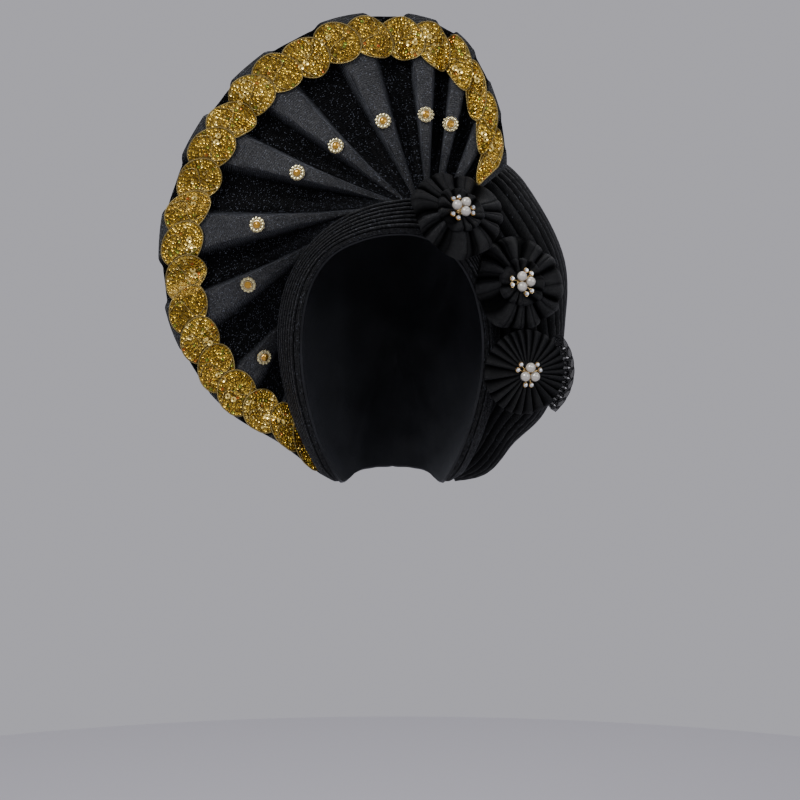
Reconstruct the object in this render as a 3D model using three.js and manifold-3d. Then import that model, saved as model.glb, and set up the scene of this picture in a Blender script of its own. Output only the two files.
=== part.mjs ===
// A tied gele head tie in black stiffened cloth, in millimetres.
//
// The head goes in from below. The origin is the point inside the hood where the crown of the
// head rests, +Z is up and the face looks along -Y. A close hood of plain cloth carries the rest:
// a pleated wrap round the face, a tall pleated fan on the -X side with a scalloped gold trim
// and eight studs, a puffed pleated wrap on the +X side, and three cloth rosettes with pearl
// brooches, the lowest with a net ruffle behind it.
//
// Most places are given from the middle of the head by two angles. "turn" goes round the face
// as seen from the front: 0 up, 90 towards +X, 180 down. "tilt" goes back from the face: 0 is
// straight ahead, 90 is the side of the head and 180 the back of it.
import * as THREE from "three";
import { mergeVertices } from "three/addons/utils/BufferGeometryUtils.js";
import Module from "manifold-3d";

const wasm = await Module();
wasm.setup();

// Driving dimensions.
const HEAD = { halfWidth: 77, halfLength: 95, crownRise: 100, jawDrop: 150 };
const CLOTH = { wall: 1.8, gap: 1 };
const FACE_WRAP = { lift: 12, underLift: 8, pleats: 7, pleatDepth: 2.4, stations: 22 };
const FAN = { reach: 216, dish: 13, foldDepth: 7, hem: 3.4, samplesPerFold: 4, tuck: 3 };
const TRIM = { width: 29, wall: 1.2, gap: 0.8, scallopsPerFold: 2, scallopDepth: 3.6, wave: 1.2 };
const SIDE_WRAP = { standOff: 52, pleats: 11, pleatDepth: 2.2 };
const SEAT_GAP = 0.35;
const ROSETTE = { radius: 31, wall: 1.5, dome: 4, stem: 7 };
const RUFFLE = { wall: 1, reach: 38, waves: 10, waveDepth: 2.2, from: -50, to: 48, behind: 6 };
const BROOCH = { pearl: 7, stone: 3, stoneReach: 8.6, spread: 15, wire: 1, plate: 9 };
const STUD = { diameter: 11.5, stone: 5.4, beads: 12, base: 1.2, rise: 3 };

// The edge of the hood: round the face to the jaw tips at turn -163 and 163, then round the nape.
const HOOD_EDGE = [
  { turn: -180, tilt: 115 },
  { turn: -173, tilt: 113 },
  { turn: -167, tilt: 106 },
  { turn: -163, tilt: 88 },
  { turn: -150, tilt: 74.5 },
  { turn: -130, tilt: 63 },
  { turn: -110, tilt: 53 },
  { turn: -90, tilt: 45 },
  { turn: -60, tilt: 36 },
  { turn: -30, tilt: 28.6 },
  { turn: 0, tilt: 27 },
  { turn: 30, tilt: 30.5 },
  { turn: 60, tilt: 36.5 },
  { turn: 90, tilt: 45 },
  { turn: 110, tilt: 54 },
  { turn: 130, tilt: 64 },
  { turn: 150, tilt: 74.5 },
  { turn: 163, tilt: 88 },
  { turn: 167, tilt: 106 },
  { turn: 173, tilt: 113 },
  { turn: 180, tilt: 115 },
];

// The outer edge of the pleated face wrap. lift is its height off the head, a share of
// FACE_WRAP.lift.
const WRAP_EDGE = [
  { turn: -163, tilt: 94, lift: 0.86 },
  { turn: -150, tilt: 86, lift: 0.95 },
  { turn: -130, tilt: 81, lift: 1 },
  { turn: -110, tilt: 72.5, lift: 1 },
  { turn: -90, tilt: 61, lift: 0.96 },
  { turn: -60, tilt: 47, lift: 0.9 },
  { turn: -30, tilt: 40, lift: 0.88 },
  { turn: 0, tilt: 40, lift: 0.88 },
  { turn: 30, tilt: 48, lift: 0.88 },
  { turn: 60, tilt: 50, lift: 0.88 },
  { turn: 90, tilt: 55.5, lift: 0.88 },
  { turn: 110, tilt: 63, lift: 0.88 },
  { turn: 130, tilt: 74, lift: 0.88 },
  { turn: 150, tilt: 85, lift: 0.86 },
  { turn: 163, tilt: 95, lift: 0.86 },
];

// The fan, a row for each fold's crest from the right end to the left jaw. root is the turn at
// which the fold leaves the face wrap; turn, tilt and reach (a share of FAN.reach) place the rim.
const FOLDS = [
  { root: 34, turn: 40.4, tilt: 68, reach: 0.63 },
  { root: 29.5, turn: 27, tilt: 71.3, reach: 0.795 },
  { root: 25, turn: 15.8, tilt: 73.3, reach: 0.927 },
  { root: 20, turn: 6.4, tilt: 74.4, reach: 0.972 },
  { root: 14, turn: -9.8, tilt: 74.5, reach: 0.98 },
  { root: 6.5, turn: -31.7, tilt: 74.5, reach: 0.938 },
  { root: 0, turn: -49.7, tilt: 74.5, reach: 0.886 },
  { root: -22, turn: -74.3, tilt: 75.4, reach: 0.822 },
  { root: -58, turn: -96.4, tilt: 76.8, reach: 0.758 },
  { root: -103, turn: -121.8, tilt: 78.9, reach: 0.678 },
  { root: -130, turn: -141.7, tilt: 83.9, reach: 0.61 },
  { root: -156, turn: -160.5, tilt: 95, reach: 0.64 },
];

// The studs on the fan: the fold each sits on and how far out it is, a share of the leaf.
const STUDS = [
  { fold: 2, out: 0.484 },
  { fold: 3, out: 0.468 },
  { fold: 4.03, out: 0.428 },
  { fold: 5.05, out: 0.413 },
  { fold: 6.06, out: 0.46 },
  { fold: 7, out: 0.5 },
  { fold: 8, out: 0.438 },
  { fold: 9, out: 0.348 },
];

// The side wrap along its pleats, from over the crown down to the right jaw. past is how far
// its front edge lies past the outer edge of the face wrap, end is the tilt of its back edge,
// bulge is a share of SIDE_WRAP.standOff, and hollow is how slowly the front rises.
const SIDE_STATIONS = [
  { turn: 10, past: 21, end: 108, bulge: 0.08, hollow: 2 },
  { turn: 20, past: 14, end: 122, bulge: 0.42, hollow: 2.6 },
  { turn: 37, past: 6, end: 144, bulge: 1, hollow: 3 },
  { turn: 55, past: 0, end: 156, bulge: 1.035, hollow: 2 },
  { turn: 75, past: -2, end: 161, bulge: 1.06, hollow: 1.25 },
  { turn: 95, past: -2, end: 162, bulge: 0.99, hollow: 1 },
  { turn: 115, past: -2, end: 160, bulge: 1.02, hollow: 1 },
  { turn: 126, past: -2, end: 154, bulge: 0.95, hollow: 1 },
  { turn: 138, past: -1.5, end: 144, bulge: 0.7, hollow: 1.1 },
  { turn: 150, past: -1, end: 130, bulge: 0.56, hollow: 1.3 },
  { turn: 160, past: -1, end: 116, bulge: 0.16, hollow: 1.5 },
];

// Across the side wrap from front to back: how full it stands at each share of its width.
const FULLNESS = [
  { across: 0, full: 0 },
  { across: 0.03, full: 0.03 },
  { across: 0.06, full: 0.25 },
  { across: 0.1, full: 0.55 },
  { across: 0.15, full: 0.78 },
  { across: 0.22, full: 0.88 },
  { across: 0.32, full: 0.91 },
  { across: 0.45, full: 0.9 },
  { across: 0.6, full: 0.81 },
  { across: 0.75, full: 0.58 },
  { across: 0.88, full: 0.28 },
  { across: 1, full: 0 },
];

// The rosettes: where the middle of each lies, how high off the head, which way it faces, how
// many petals or folds it has and how deep they are, and how its brooch is turned.
const ROSETTES = [
  { name: "top", turn: 38, tilt: 41.5, height: 21, face: [0.3, -0.87, 0.38], folds: 8, depth: 2.6, size: 1, roll: -10 },
  { name: "middle", turn: 82.2, tilt: 55.5, height: 29, face: [0.3, -0.95, 0.05], folds: 8, depth: 2.6, size: 1, roll: 60 },
  { name: "bottom", turn: 118, tilt: 60.25, height: 37, face: [0.28, -0.95, -0.12], folds: 26, depth: 1.5, size: 0.96, roll: 30 },
];

const headCentre = new THREE.Vector3(0, 0, -HEAD.crownRise);
const lerp = THREE.MathUtils.lerp;
const radians = THREE.MathUtils.degToRad;

// A smooth value of one column of a table at x, where the rows are sorted by the key column.
function along(rows, key, column, x) {
  const last = rows.length - 1;
  let i = 0;
  while (i < last - 1 && x > rows[i + 1][key]) i += 1;
  const [before, a, b, after] = [i - 1, i, i + 1, i + 2].map((k) => rows[Math.min(Math.max(k, 0), last)]);
  const span = b[key] - a[key];
  const t = THREE.MathUtils.clamp((x - a[key]) / span, 0, 1);
  const slopeA = ((b[column] - before[column]) / (b[key] - before[key])) * span;
  const slopeB = ((after[column] - a[column]) / (after[key] - a[key])) * span;
  const [t2, t3] = [t * t, t * t * t];
  return (
    (2 * t3 - 3 * t2 + 1) * a[column] +
    (t3 - 2 * t2 + t) * slopeA +
    (3 * t2 - 2 * t3) * b[column] +
    (t3 - t2) * slopeB
  );
}

// The direction from the middle of the head at a turn and a tilt in degrees.
function direction(turn, tilt) {
  const [a, b] = [radians(turn), radians(tilt)];
  return new THREE.Vector3(Math.sin(b) * Math.sin(a), -Math.cos(b), Math.sin(b) * Math.cos(a));
}

// The point at a turn and tilt that is a given height off the head, which is half an egg above
// its middle and a longer one below.
function onHead(turn, tilt, height) {
  const d = direction(turn, tilt);
  const rise = d.z > 0 ? HEAD.crownRise : HEAD.jawDrop;
  const radius = 1 / Math.hypot(d.x / HEAD.halfWidth, d.y / HEAD.halfLength, d.z / rise);
  return d.multiplyScalar(radius + height).add(headCentre);
}

// A grid of points: point(i, j) for each of the columns and rows.
function grid(columns, rows, point) {
  return Array.from({ length: columns }, (_, i) => Array.from({ length: rows }, (_, j) => point(i, j)));
}

// The points of a grid moved along its own normals.
function moved(points, distance, closed = false) {
  const [n, m] = [points.length, points[0].length];
  return grid(n, m, (i, j) => {
    const left = points[closed ? (i + n - 1) % n : Math.max(i - 1, 0)][j];
    const right = points[closed ? (i + 1) % n : Math.min(i + 1, n - 1)][j];
    const down = points[i][Math.max(j - 1, 0)];
    const up = points[i][Math.min(j + 1, m - 1)];
    const across = new THREE.Vector3().subVectors(right, left);
    if (across.lengthSq() < 1e-9) across.subVectors(points[(i + 1) % n][1], points[(i + n - 1) % n][1]);
    const normal = across.cross(new THREE.Vector3().subVectors(up, down)).normalize();
    return points[i][j].clone().addScaledVector(normal, distance);
  });
}

// One closed body from a list of corners and triangles, with its faces turned out.
function body(corners, triangles) {
  const raw = new THREE.BufferGeometry();
  raw.setAttribute("position", new THREE.Float32BufferAttribute(corners.flatMap((p) => [p.x, p.y, p.z]), 3));
  raw.setIndex(triangles.flat());
  const merged = mergeVertices(raw, 1e-3);
  const index = merged.index.array;
  const at = (k) => new THREE.Vector3().fromBufferAttribute(merged.attributes.position, k);
  let kept = [];
  let volume = 0;
  for (let k = 0; k < index.length; k += 3) {
    const [a, b, c] = index.slice(k, k + 3);
    if (a === b || b === c || a === c) continue;
    kept.push([a, b, c]);
    volume += at(a).dot(at(b).cross(at(c)));
  }
  if (volume < 0) kept = kept.map(([a, b, c]) => [a, c, b]);
  merged.setIndex(kept.flat());
  merged.computeVertexNormals();
  return merged;
}

// The wall between two grids of the same size, closed along its borders. A grid that is closed
// joins its last column to its first, and a border that shrinks to a point closes by itself.
function wall(front, back, closed = false) {
  const [n, m] = [front.length, front[0].length];
  const corners = [...front.flat(), ...back.flat()];
  const at = (side, i, j) => side * n * m + (i % n) * m + j;
  const triangles = [];
  const quad = (a, b, c, d) => triangles.push([a, b, c], [a, c, d]);
  const spans = closed ? n : n - 1;
  for (let i = 0; i < spans; i += 1) {
    for (let j = 0; j < m - 1; j += 1) {
      quad(at(0, i, j), at(0, i + 1, j), at(0, i + 1, j + 1), at(0, i, j + 1));
      quad(at(1, i, j), at(1, i, j + 1), at(1, i + 1, j + 1), at(1, i + 1, j));
    }
    quad(at(0, i, 0), at(1, i, 0), at(1, i + 1, 0), at(0, i + 1, 0));
    quad(at(0, i, m - 1), at(0, i + 1, m - 1), at(1, i + 1, m - 1), at(1, i, m - 1));
  }
  if (!closed)
    for (let j = 0; j < m - 1; j += 1) {
      quad(at(0, 0, j), at(0, 0, j + 1), at(1, 0, j + 1), at(1, 0, j));
      quad(at(0, n - 1, j), at(1, n - 1, j), at(1, n - 1, j + 1), at(0, n - 1, j + 1));
    }
  return body(corners, triangles);
}

const gele = new THREE.Group();
const blackCloth = { color: 0x101216, roughness: 0.62, metalness: 0 };
const goldSequins = { color: 0xb98a1e, roughness: 0.35, metalness: 0.8 };
const goldMetal = { color: 0xc9a24a, roughness: 0.3, metalness: 1 };
const silverMetal = { color: 0xc8c8c4, roughness: 0.25, metalness: 1 };
const pearlWhite = { color: 0xe9e4d8, roughness: 0.22, metalness: 0 };
const clearStone = { color: 0xdfe6ee, roughness: 0.05, metalness: 0 };
const amberStone = { color: 0xd39a12, roughness: 0.08, metalness: 0 };
const blackNet = { color: 0x2a2a30, roughness: 0.7, metalness: 0 };

function add(name, geometry, finish, parent = gele) {
  const mesh = new THREE.Mesh(geometry, new THREE.MeshStandardMaterial(finish));
  mesh.name = name;
  parent.add(mesh);
  return mesh;
}

// The hood, a close cap of one cloth from the face edge back to the nape.
const HOOD_ROWS = [0, 0.09, 0.19, 0.3, 0.43, 0.57, 0.71, 0.85, 1];
const TURN_STEP = 10;
const hoodTurns = HOOD_EDGE.slice(1).flatMap((row, k) => {
  const from = HOOD_EDGE[k].turn;
  const steps = Math.ceil((row.turn - from) / TURN_STEP);
  return Array.from({ length: steps }, (_, i) => lerp(from, row.turn, i / steps));
});
function hoodGrid(height) {
  return grid(hoodTurns.length, HOOD_ROWS.length, (i, j) => {
    const turn = hoodTurns[i];
    const edge = along(HOOD_EDGE, "turn", "tilt", turn);
    return onHead(turn, lerp(edge, 180, HOOD_ROWS[j]), height);
  });
}
add("hood", wall(hoodGrid(CLOTH.wall), hoodGrid(0), true), blackCloth);

// The face wrap: flat pleats laid side by side round the face, standing higher off the head
// towards the outer edge, under which the fan and the side wrap are tucked.
const jawTurn = WRAP_EDGE[WRAP_EDGE.length - 1].turn;
const wrapColumns = FACE_WRAP.pleats * 2 + 1;
const wrapFloor = CLOTH.wall + CLOTH.gap * 1.25;
function faceWrapGrid(outer) {
  return grid(FACE_WRAP.stations, wrapColumns, (i, j) => {
    const side = lerp(-1, 1, i / (FACE_WRAP.stations - 1));
    const turn = jawTurn * lerp(side, Math.sin((side * Math.PI) / 2), 0.5);
    const share = j / (wrapColumns - 1);
    const inner = along(HOOD_EDGE, "turn", "tilt", turn);
    const tilt = lerp(inner, along(WRAP_EDGE, "turn", "tilt", turn), share);
    const lift = along(WRAP_EDGE, "turn", "lift", turn);
    if (!outer) return onHead(turn, tilt, lerp(wrapFloor, FACE_WRAP.underLift, share));
    const ridge = j % 2 ? 0 : -FACE_WRAP.pleatDepth;
    const top = lerp(wrapFloor + CLOTH.wall + FACE_WRAP.pleatDepth, FACE_WRAP.lift * lift, share);
    return onHead(turn, tilt, top + ridge * (j ? 0.75 : 1));
  });
}
add("face_wrap", wall(faceWrapGrid(true), faceWrapGrid(false)), blackCloth);

// The fan. Its root is tucked between the hood and the face wrap, comes out at the wrap's edge
// and spreads to the rim in folds, dished away from the front.
FOLDS.forEach((row, k) => (row.fold = k));
const fanColumns = (FOLDS.length - 1) * FAN.samplesPerFold + 1;
const FAN_ROWS = [-1, 0, 0.16, 0.34, 0.54, 0.77, 1];
const rootHeight = CLOTH.wall * 1.5 + CLOTH.gap * 1.4;
function fanPoint(fold, out) {
  const root = along(FOLDS, "fold", "root", fold);
  const edge = along(WRAP_EDGE, "turn", "tilt", root);
  const tuck = onHead(root, edge - FAN.tuck, rootHeight);
  const exit = onHead(root, edge + FAN.tuck / 2, rootHeight + CLOTH.wall);
  if (out <= 0) return tuck.lerp(exit, 1 + out);
  const rim = direction(along(FOLDS, "fold", "turn", fold), along(FOLDS, "fold", "tilt", fold))
    .multiplyScalar(FAN.reach * along(FOLDS, "fold", "reach", fold))
    .add(headCentre);
  const length = rim.distanceTo(exit);
  const side = new THREE.Vector3().subVectors(rim, exit).normalize();
  const back = new THREE.Vector3(0, 1, 0).addScaledVector(side, -side.y).normalize();
  const share = length / FAN.reach;
  const dish = FAN.dish * share * 4 * out * (1 - out);
  const rise = Math.min(1, 0.05 + out / 0.4) * Math.min(1, share * 1.6);
  const fullness = lerp(1, 0.6, Math.max(0, (out - 0.5) * 2));
  const wave = Math.cos(2 * Math.PI * fold);
  const crest = wave > 0.5 ? 1 : wave;
  return exit.lerp(rim, out).addScaledVector(back, dish - FAN.foldDepth * rise * fullness * crest);
}
const fanGrid = grid(fanColumns, FAN_ROWS.length, (i, j) => fanPoint(i / FAN.samplesPerFold, FAN_ROWS[j]));
add("fan", wall(moved(fanGrid, CLOTH.wall / 2), moved(fanGrid, -CLOTH.wall / 2)), blackCloth);

// A point of the fan's flat-sided folds, between the corners of its grid.
function onFan(fold, out) {
  const u = THREE.MathUtils.clamp(fold * FAN.samplesPerFold, 0, fanColumns - 1.001);
  const i = Math.floor(u);
  let j = 0;
  while (j < FAN_ROWS.length - 2 && out > FAN_ROWS[j + 1]) j += 1;
  const v = (out - FAN_ROWS[j]) / (FAN_ROWS[j + 1] - FAN_ROWS[j]);
  const low = fanGrid[i][j].clone().lerp(fanGrid[i + 1][j], u - i);
  return low.lerp(fanGrid[i][j + 1].clone().lerp(fanGrid[i + 1][j + 1], u - i), v);
}
function fanNormal(fold, out) {
  const step = 0.02;
  const across = new THREE.Vector3().subVectors(onFan(fold + step, out), onFan(fold - step, out));
  const up = new THREE.Vector3().subVectors(onFan(fold, out + step), onFan(fold, out - step));
  const normal = across.cross(up).normalize();
  return normal.y > 0 ? normal.negate() : normal;
}

// The gold trim, scalloped along both edges, stitched on the fan a hem's width inside its rim.
const trimSamples = TRIM.scallopsPerFold * 4;
const trimGrid = grid((FOLDS.length - 1) * trimSamples - 1, 3, (i, j) => {
  const fold = i / trimSamples;
  const length = onFan(fold, 0).distanceTo(onFan(fold, 1));
  const bump = Math.abs(Math.sin(Math.PI * TRIM.scallopsPerFold * fold));
  const inside = TRIM.width - TRIM.scallopDepth * (1 - bump);
  const outside = FAN.hem + TRIM.wave * (1 - bump);
  const reach = lerp(Math.min(inside, length * 0.7), Math.min(outside, length * 0.5), j / 2);
  return onFan(fold, 1 - reach / length);
});
const trimOffset = CLOTH.wall / 2 + TRIM.gap;
add("fan_trim", wall(moved(trimGrid, -trimOffset - TRIM.wall), moved(trimGrid, -trimOffset)), goldSequins);

// The side wrap: long pleats that run from over the crown down to the right jaw and stand off
// the side of the head.
const sideColumns = SIDE_WRAP.pleats * 2 + 1;
const sideSeat = wrapFloor + CLOTH.wall / 2;
function sideGrid() {
  const first = SIDE_STATIONS[0].turn;
  const last = SIDE_STATIONS[SIDE_STATIONS.length - 1].turn;
  return grid((last - first) / TURN_STEP + 1, sideColumns, (i, j) => {
    const turn = first + i * TURN_STEP;
    const across = (j / (sideColumns - 1)) ** 1.15;
    const at = (column) => along(SIDE_STATIONS, "turn", column, turn);
    const full = Math.max(0, along(FULLNESS, "across", "full", across)) ** at("hollow");
    const bulge = Math.max(0, SIDE_WRAP.standOff * at("bulge") * full);
    const ridge = j % 2 && j > 1 && j < sideColumns - 2 ? SIDE_WRAP.pleatDepth : 0;
    const start = along(WRAP_EDGE, "turn", "tilt", turn) + at("past");
    return onHead(turn, lerp(start, at("end"), across), sideSeat + bulge + ridge * Math.min(1, bulge / 12));
  });
}
const sideMiddle = sideGrid();
add("side_wrap", wall(moved(sideMiddle, CLOTH.wall / 2), moved(sideMiddle, -CLOTH.wall / 2)), blackCloth);

// A rosette, a gathered round of cloth that lies in its own XY plane, raised in the middle, with
// a round peg of gathered cloth behind it, its stem, which is stitched down. The rows run from
// the middle of its front over the rim and along its back to the rounded end of the stem.
const stemShare = ROSETTE.stem / ROSETTE.radius;
const ROSETTE_ROWS = [
  { out: 0, side: 1 },
  { out: 0.5, side: 1 },
  { out: 1, side: 1 },
  { out: 1, side: -1 },
  { out: 0.5, side: -1 },
  { out: stemShare, side: -1 },
  { stem: 1 },
  { stem: 0.7 },
  { stem: 0 },
];
function rosetteBody({ folds, depth, size }, stemLength) {
  const samples = folds > 12 ? 2 : 4;
  const columns = folds * samples;
  const points = grid(columns, ROSETTE_ROWS.length, (i, j) => {
    const { out, side, stem } = ROSETTE_ROWS[j];
    const angle = (2 * Math.PI * i) / columns;
    const wave = Math.cos(angle * folds);
    let radius = ROSETTE.stem * stem;
    let height = ROSETTE.stem * (1 - Math.sqrt(1 - stem * stem)) - stemLength;
    if (side) {
      const spread = folds > 12 ? 0.015 : 0.05;
      radius = ROSETTE.radius * size * out * (1 + spread * wave * out);
      height = ROSETTE.dome * (1 - out * out) + depth * wave * out + (side * ROSETTE.wall) / 2;
    }
    return new THREE.Vector3(radius * Math.cos(angle), radius * Math.sin(angle), height);
  });
  const last = ROSETTE_ROWS.length - 1;
  const at = (i, j) => (i % columns) * (last + 1) + j;
  const triangles = [];
  for (let i = 0; i < columns; i += 1)
    for (let j = 0; j < last; j += 1)
      triangles.push([at(i, j), at(i + 1, j), at(i + 1, j + 1)], [at(i, j), at(i + 1, j + 1), at(i, j + 1)]);
  return body(points.flat(), triangles);
}

// The net ruffle, a waved sector that shows past one side of a rosette, gathered round its stem.
const ruffleStations = RUFFLE.waves * 4 + 1;
const ruffleGrid = grid(ruffleStations, 3, (i, j) => {
  const share = i / (ruffleStations - 1);
  const angle = radians(lerp(RUFFLE.from, RUFFLE.to, share));
  const wave = Math.sin(2 * Math.PI * RUFFLE.waves * share);
  const radius = lerp(ROSETTE.stem + SEAT_GAP, RUFFLE.reach, j / 2);
  return new THREE.Vector3(radius * Math.cos(angle), radius * Math.sin(angle), RUFFLE.waveDepth * wave * (j / 2));
});

// A closed mesh as a solid for joining, and a joined solid as a geometry.
function solid(geometry) {
  const bare = geometry.clone();
  bare.deleteAttribute("normal");
  bare.deleteAttribute("uv");
  const merged = mergeVertices(bare, 1e-4);
  return new wasm.Manifold(
    new wasm.Mesh({
      numProp: 3,
      vertProperties: merged.attributes.position.array,
      triVerts: new Uint32Array(merged.index.array),
    }),
  );
}
function geometryOf(manifold) {
  const { vertProperties, triVerts } = manifold.getMesh();
  const made = new THREE.BufferGeometry();
  made.setAttribute("position", new THREE.BufferAttribute(vertProperties, 3));
  made.setIndex(new THREE.BufferAttribute(triVerts, 1));
  made.computeVertexNormals();
  return made;
}

// A cut stone: a flat table, eight crown facets and eight that meet in a point below.
function cutStone(diameter, rise) {
  const sides = 8;
  const profile = [
    new THREE.Vector2(0, -rise * 0.45),
    new THREE.Vector2(diameter / 2, 0),
    new THREE.Vector2(diameter * 0.3, rise * 0.45),
    new THREE.Vector2(0, rise * 0.45),
  ];
  return new THREE.LatheGeometry(profile, sides).rotateX(Math.PI / 2);
}

// A brooch stands on its own XY plane: a plate with six wires, each ending in a cup for a
// small stone, and three pearls on the plate.
const plateHeight = 1;
const cupHeight = 1.6;
const stoneCorners = [0, 1, 2].flatMap((k) => [-1, 1].map((side) => k * 120 + side * BROOCH.spread));
function broochFrame() {
  let frame = solid(new THREE.CylinderGeometry(BROOCH.plate / 2, BROOCH.plate / 2, plateHeight, 9).rotateX(Math.PI / 2));
  frame = frame.translate([0, 0, plateHeight / 2]);
  for (const corner of stoneCorners) {
    const wire = solid(new THREE.CylinderGeometry(BROOCH.wire / 2, BROOCH.wire / 2, BROOCH.stoneReach, 4).rotateZ(-Math.PI / 2));
    const cup = solid(new THREE.CylinderGeometry(BROOCH.stone / 2 + 0.3, BROOCH.wire / 2, cupHeight, 6).rotateX(Math.PI / 2));
    const arm = wire.translate([BROOCH.stoneReach / 2, 0, plateHeight / 2]);
    frame = frame.add(arm.add(cup.translate([BROOCH.stoneReach, 0, cupHeight / 2])).rotate([0, 0, corner]));
  }
  return geometryOf(frame);
}
const pearlReach = (BROOCH.pearl + SEAT_GAP) / Math.sqrt(3);
function addBrooch(name, roll, parent) {
  const brooch = new THREE.Group();
  brooch.rotation.z = radians(roll);
  parent.add(brooch);
  add(`brooch_frame_${name}`, broochFrame(), goldMetal, brooch);
  for (let k = 0; k < 3; k += 1) {
    const pearl = add(`pearl_${name}_${k + 1}`, new THREE.SphereGeometry(BROOCH.pearl / 2, 10, 5), pearlWhite, brooch);
    const angle = radians(60 + 120 * k);
    pearl.position.set(pearlReach * Math.cos(angle), pearlReach * Math.sin(angle), plateHeight + SEAT_GAP + BROOCH.pearl / 2);
  }
  stoneCorners.forEach((corner, k) => {
    const stone = add(`stone_${name}_${k + 1}`, cutStone(BROOCH.stone, 1.8), clearStone, brooch);
    const angle = radians(corner);
    stone.position.set(
      BROOCH.stoneReach * Math.cos(angle),
      BROOCH.stoneReach * Math.sin(angle),
      cupHeight + SEAT_GAP + 1.8 * 0.45,
    );
  });
}

// How long a stem can be for its rounded end to stop just short of the cloth behind it, felt
// for with rays back from the rosette at the middle and in rings around it.
function stemLength(seat) {
  gele.updateMatrixWorld(true);
  const cloths = gele.children.filter((mesh) => mesh.isMesh);
  const back = new THREE.Vector3(0, 0, -1).transformDirection(seat.matrixWorld);
  const lengths = [0, 0.5, 0.85, 1].flatMap((ring) =>
    Array.from({ length: 12 }, (_, k) => {
      const angle = (k * Math.PI) / 6;
      const reach = (ROSETTE.stem + SEAT_GAP) * ring;
      const from = seat.localToWorld(new THREE.Vector3(reach * Math.cos(angle), reach * Math.sin(angle), 0));
      const [hit] = new THREE.Raycaster(from, back).intersectObjects(cloths, false);
      return hit ? hit.distance + ROSETTE.stem * (1 - Math.sqrt(1 - ring * ring)) : Infinity;
    }),
  );
  return Math.min(...lengths) - SEAT_GAP;
}

// Each rosette, with its brooch, turned to face its own way.
for (const rosette of ROSETTES) {
  const seat = new THREE.Group();
  seat.position.copy(onHead(rosette.turn, rosette.tilt, rosette.height));
  const facing = new THREE.Vector3(...rosette.face).normalize();
  const right = new THREE.Vector3(0, 0, 1).cross(facing).normalize();
  seat.quaternion.setFromRotationMatrix(new THREE.Matrix4().makeBasis(right, facing.clone().cross(right), facing));
  gele.add(seat);
  add(`rosette_${rosette.name}`, rosetteBody(rosette, stemLength(seat)), blackCloth, seat);
  const top = new THREE.Group();
  top.position.z = ROSETTE.wall / 2 + ROSETTE.dome + SEAT_GAP;
  seat.add(top);
  addBrooch(rosette.name, rosette.roll, top);
  if (rosette.name === "bottom") {
    const behind = new THREE.Group();
    behind.position.z = -RUFFLE.behind;
    seat.add(behind);
    add(
      "net_ruffle",
      wall(moved(ruffleGrid, RUFFLE.wall / 2), moved(ruffleGrid, -RUFFLE.wall / 2)),
      blackNet,
      behind,
    );
  }
}

// A stud: a ring of small bead shapes round a cup, and an amber stone in the cup.
function studSetting() {
  const corners = [new THREE.Vector3(0, 0, 0)];
  const triangles = [];
  const turn = (2 * Math.PI) / STUD.beads;
  const ring = (radius, height, shift) =>
    Array.from({ length: STUD.beads }, (_, k) => {
      corners.push(new THREE.Vector3(radius * Math.cos((k + shift) * turn), radius * Math.sin((k + shift) * turn), height));
      return corners.length - 1;
    });
  const half = STUD.diameter / 2;
  const cup = STUD.stone / 2 + 0.3;
  const foot = ring(half * 0.86, 0, 0.5);
  const notch = ring(half * 0.86, STUD.base, 0.5);
  const bulge = ring(half, STUD.base, 0);
  const peak = ring((half + cup) / 2, STUD.rise, 0);
  const lip = ring(cup, STUD.base, 0.5);
  corners.push(new THREE.Vector3(0, 0, STUD.base));
  const bottom = 0;
  const floor = corners.length - 1;
  for (let k = 0; k < STUD.beads; k += 1) {
    const before = (k + STUD.beads - 1) % STUD.beads;
    triangles.push([bottom, foot[k], foot[before]]);
    triangles.push([foot[before], foot[k], bulge[k]]);
    triangles.push([foot[before], bulge[k], notch[before]]);
    triangles.push([foot[k], notch[k], bulge[k]]);
    triangles.push([notch[before], bulge[k], peak[k]]);
    triangles.push([bulge[k], notch[k], peak[k]]);
    triangles.push([notch[before], peak[k], lip[before]]);
    triangles.push([notch[k], lip[k], peak[k]]);
    triangles.push([lip[before], peak[k], lip[k]]);
    triangles.push([lip[before], lip[k], floor]);
  }
  return body(corners, triangles);
}
STUDS.forEach(({ fold, out }, k) => {
  const place = new THREE.Group();
  const normal = fanNormal(fold, out);
  place.position.copy(onFan(fold, out)).addScaledVector(normal, CLOTH.wall / 2 + SEAT_GAP);
  place.quaternion.setFromUnitVectors(new THREE.Vector3(0, 0, 1), normal);
  gele.add(place);
  add(`stud_${k + 1}`, studSetting(), silverMetal, place);
  const stone = add(`stud_stone_${k + 1}`, cutStone(STUD.stone, 2.4), amberStone, place);
  stone.position.z = STUD.base + SEAT_GAP + 2.4 * 0.45;
});

export default gele;
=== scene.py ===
# %% [markdown]
# # A pleated head tie in black cloth
# A head tie of this kind is a long stiff cloth that has been pleated, wrapped and stitched once,
# so that it can be pulled on ready tied. We dress a plain solid model of it: every soft solid is
# replaced by a finer surface that is worked out from the same few tables, and the small metal
# parts get better shapes and finishes. The frame below holds the plain model and its sizes.

# %% Load the plain model
import math

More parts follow.
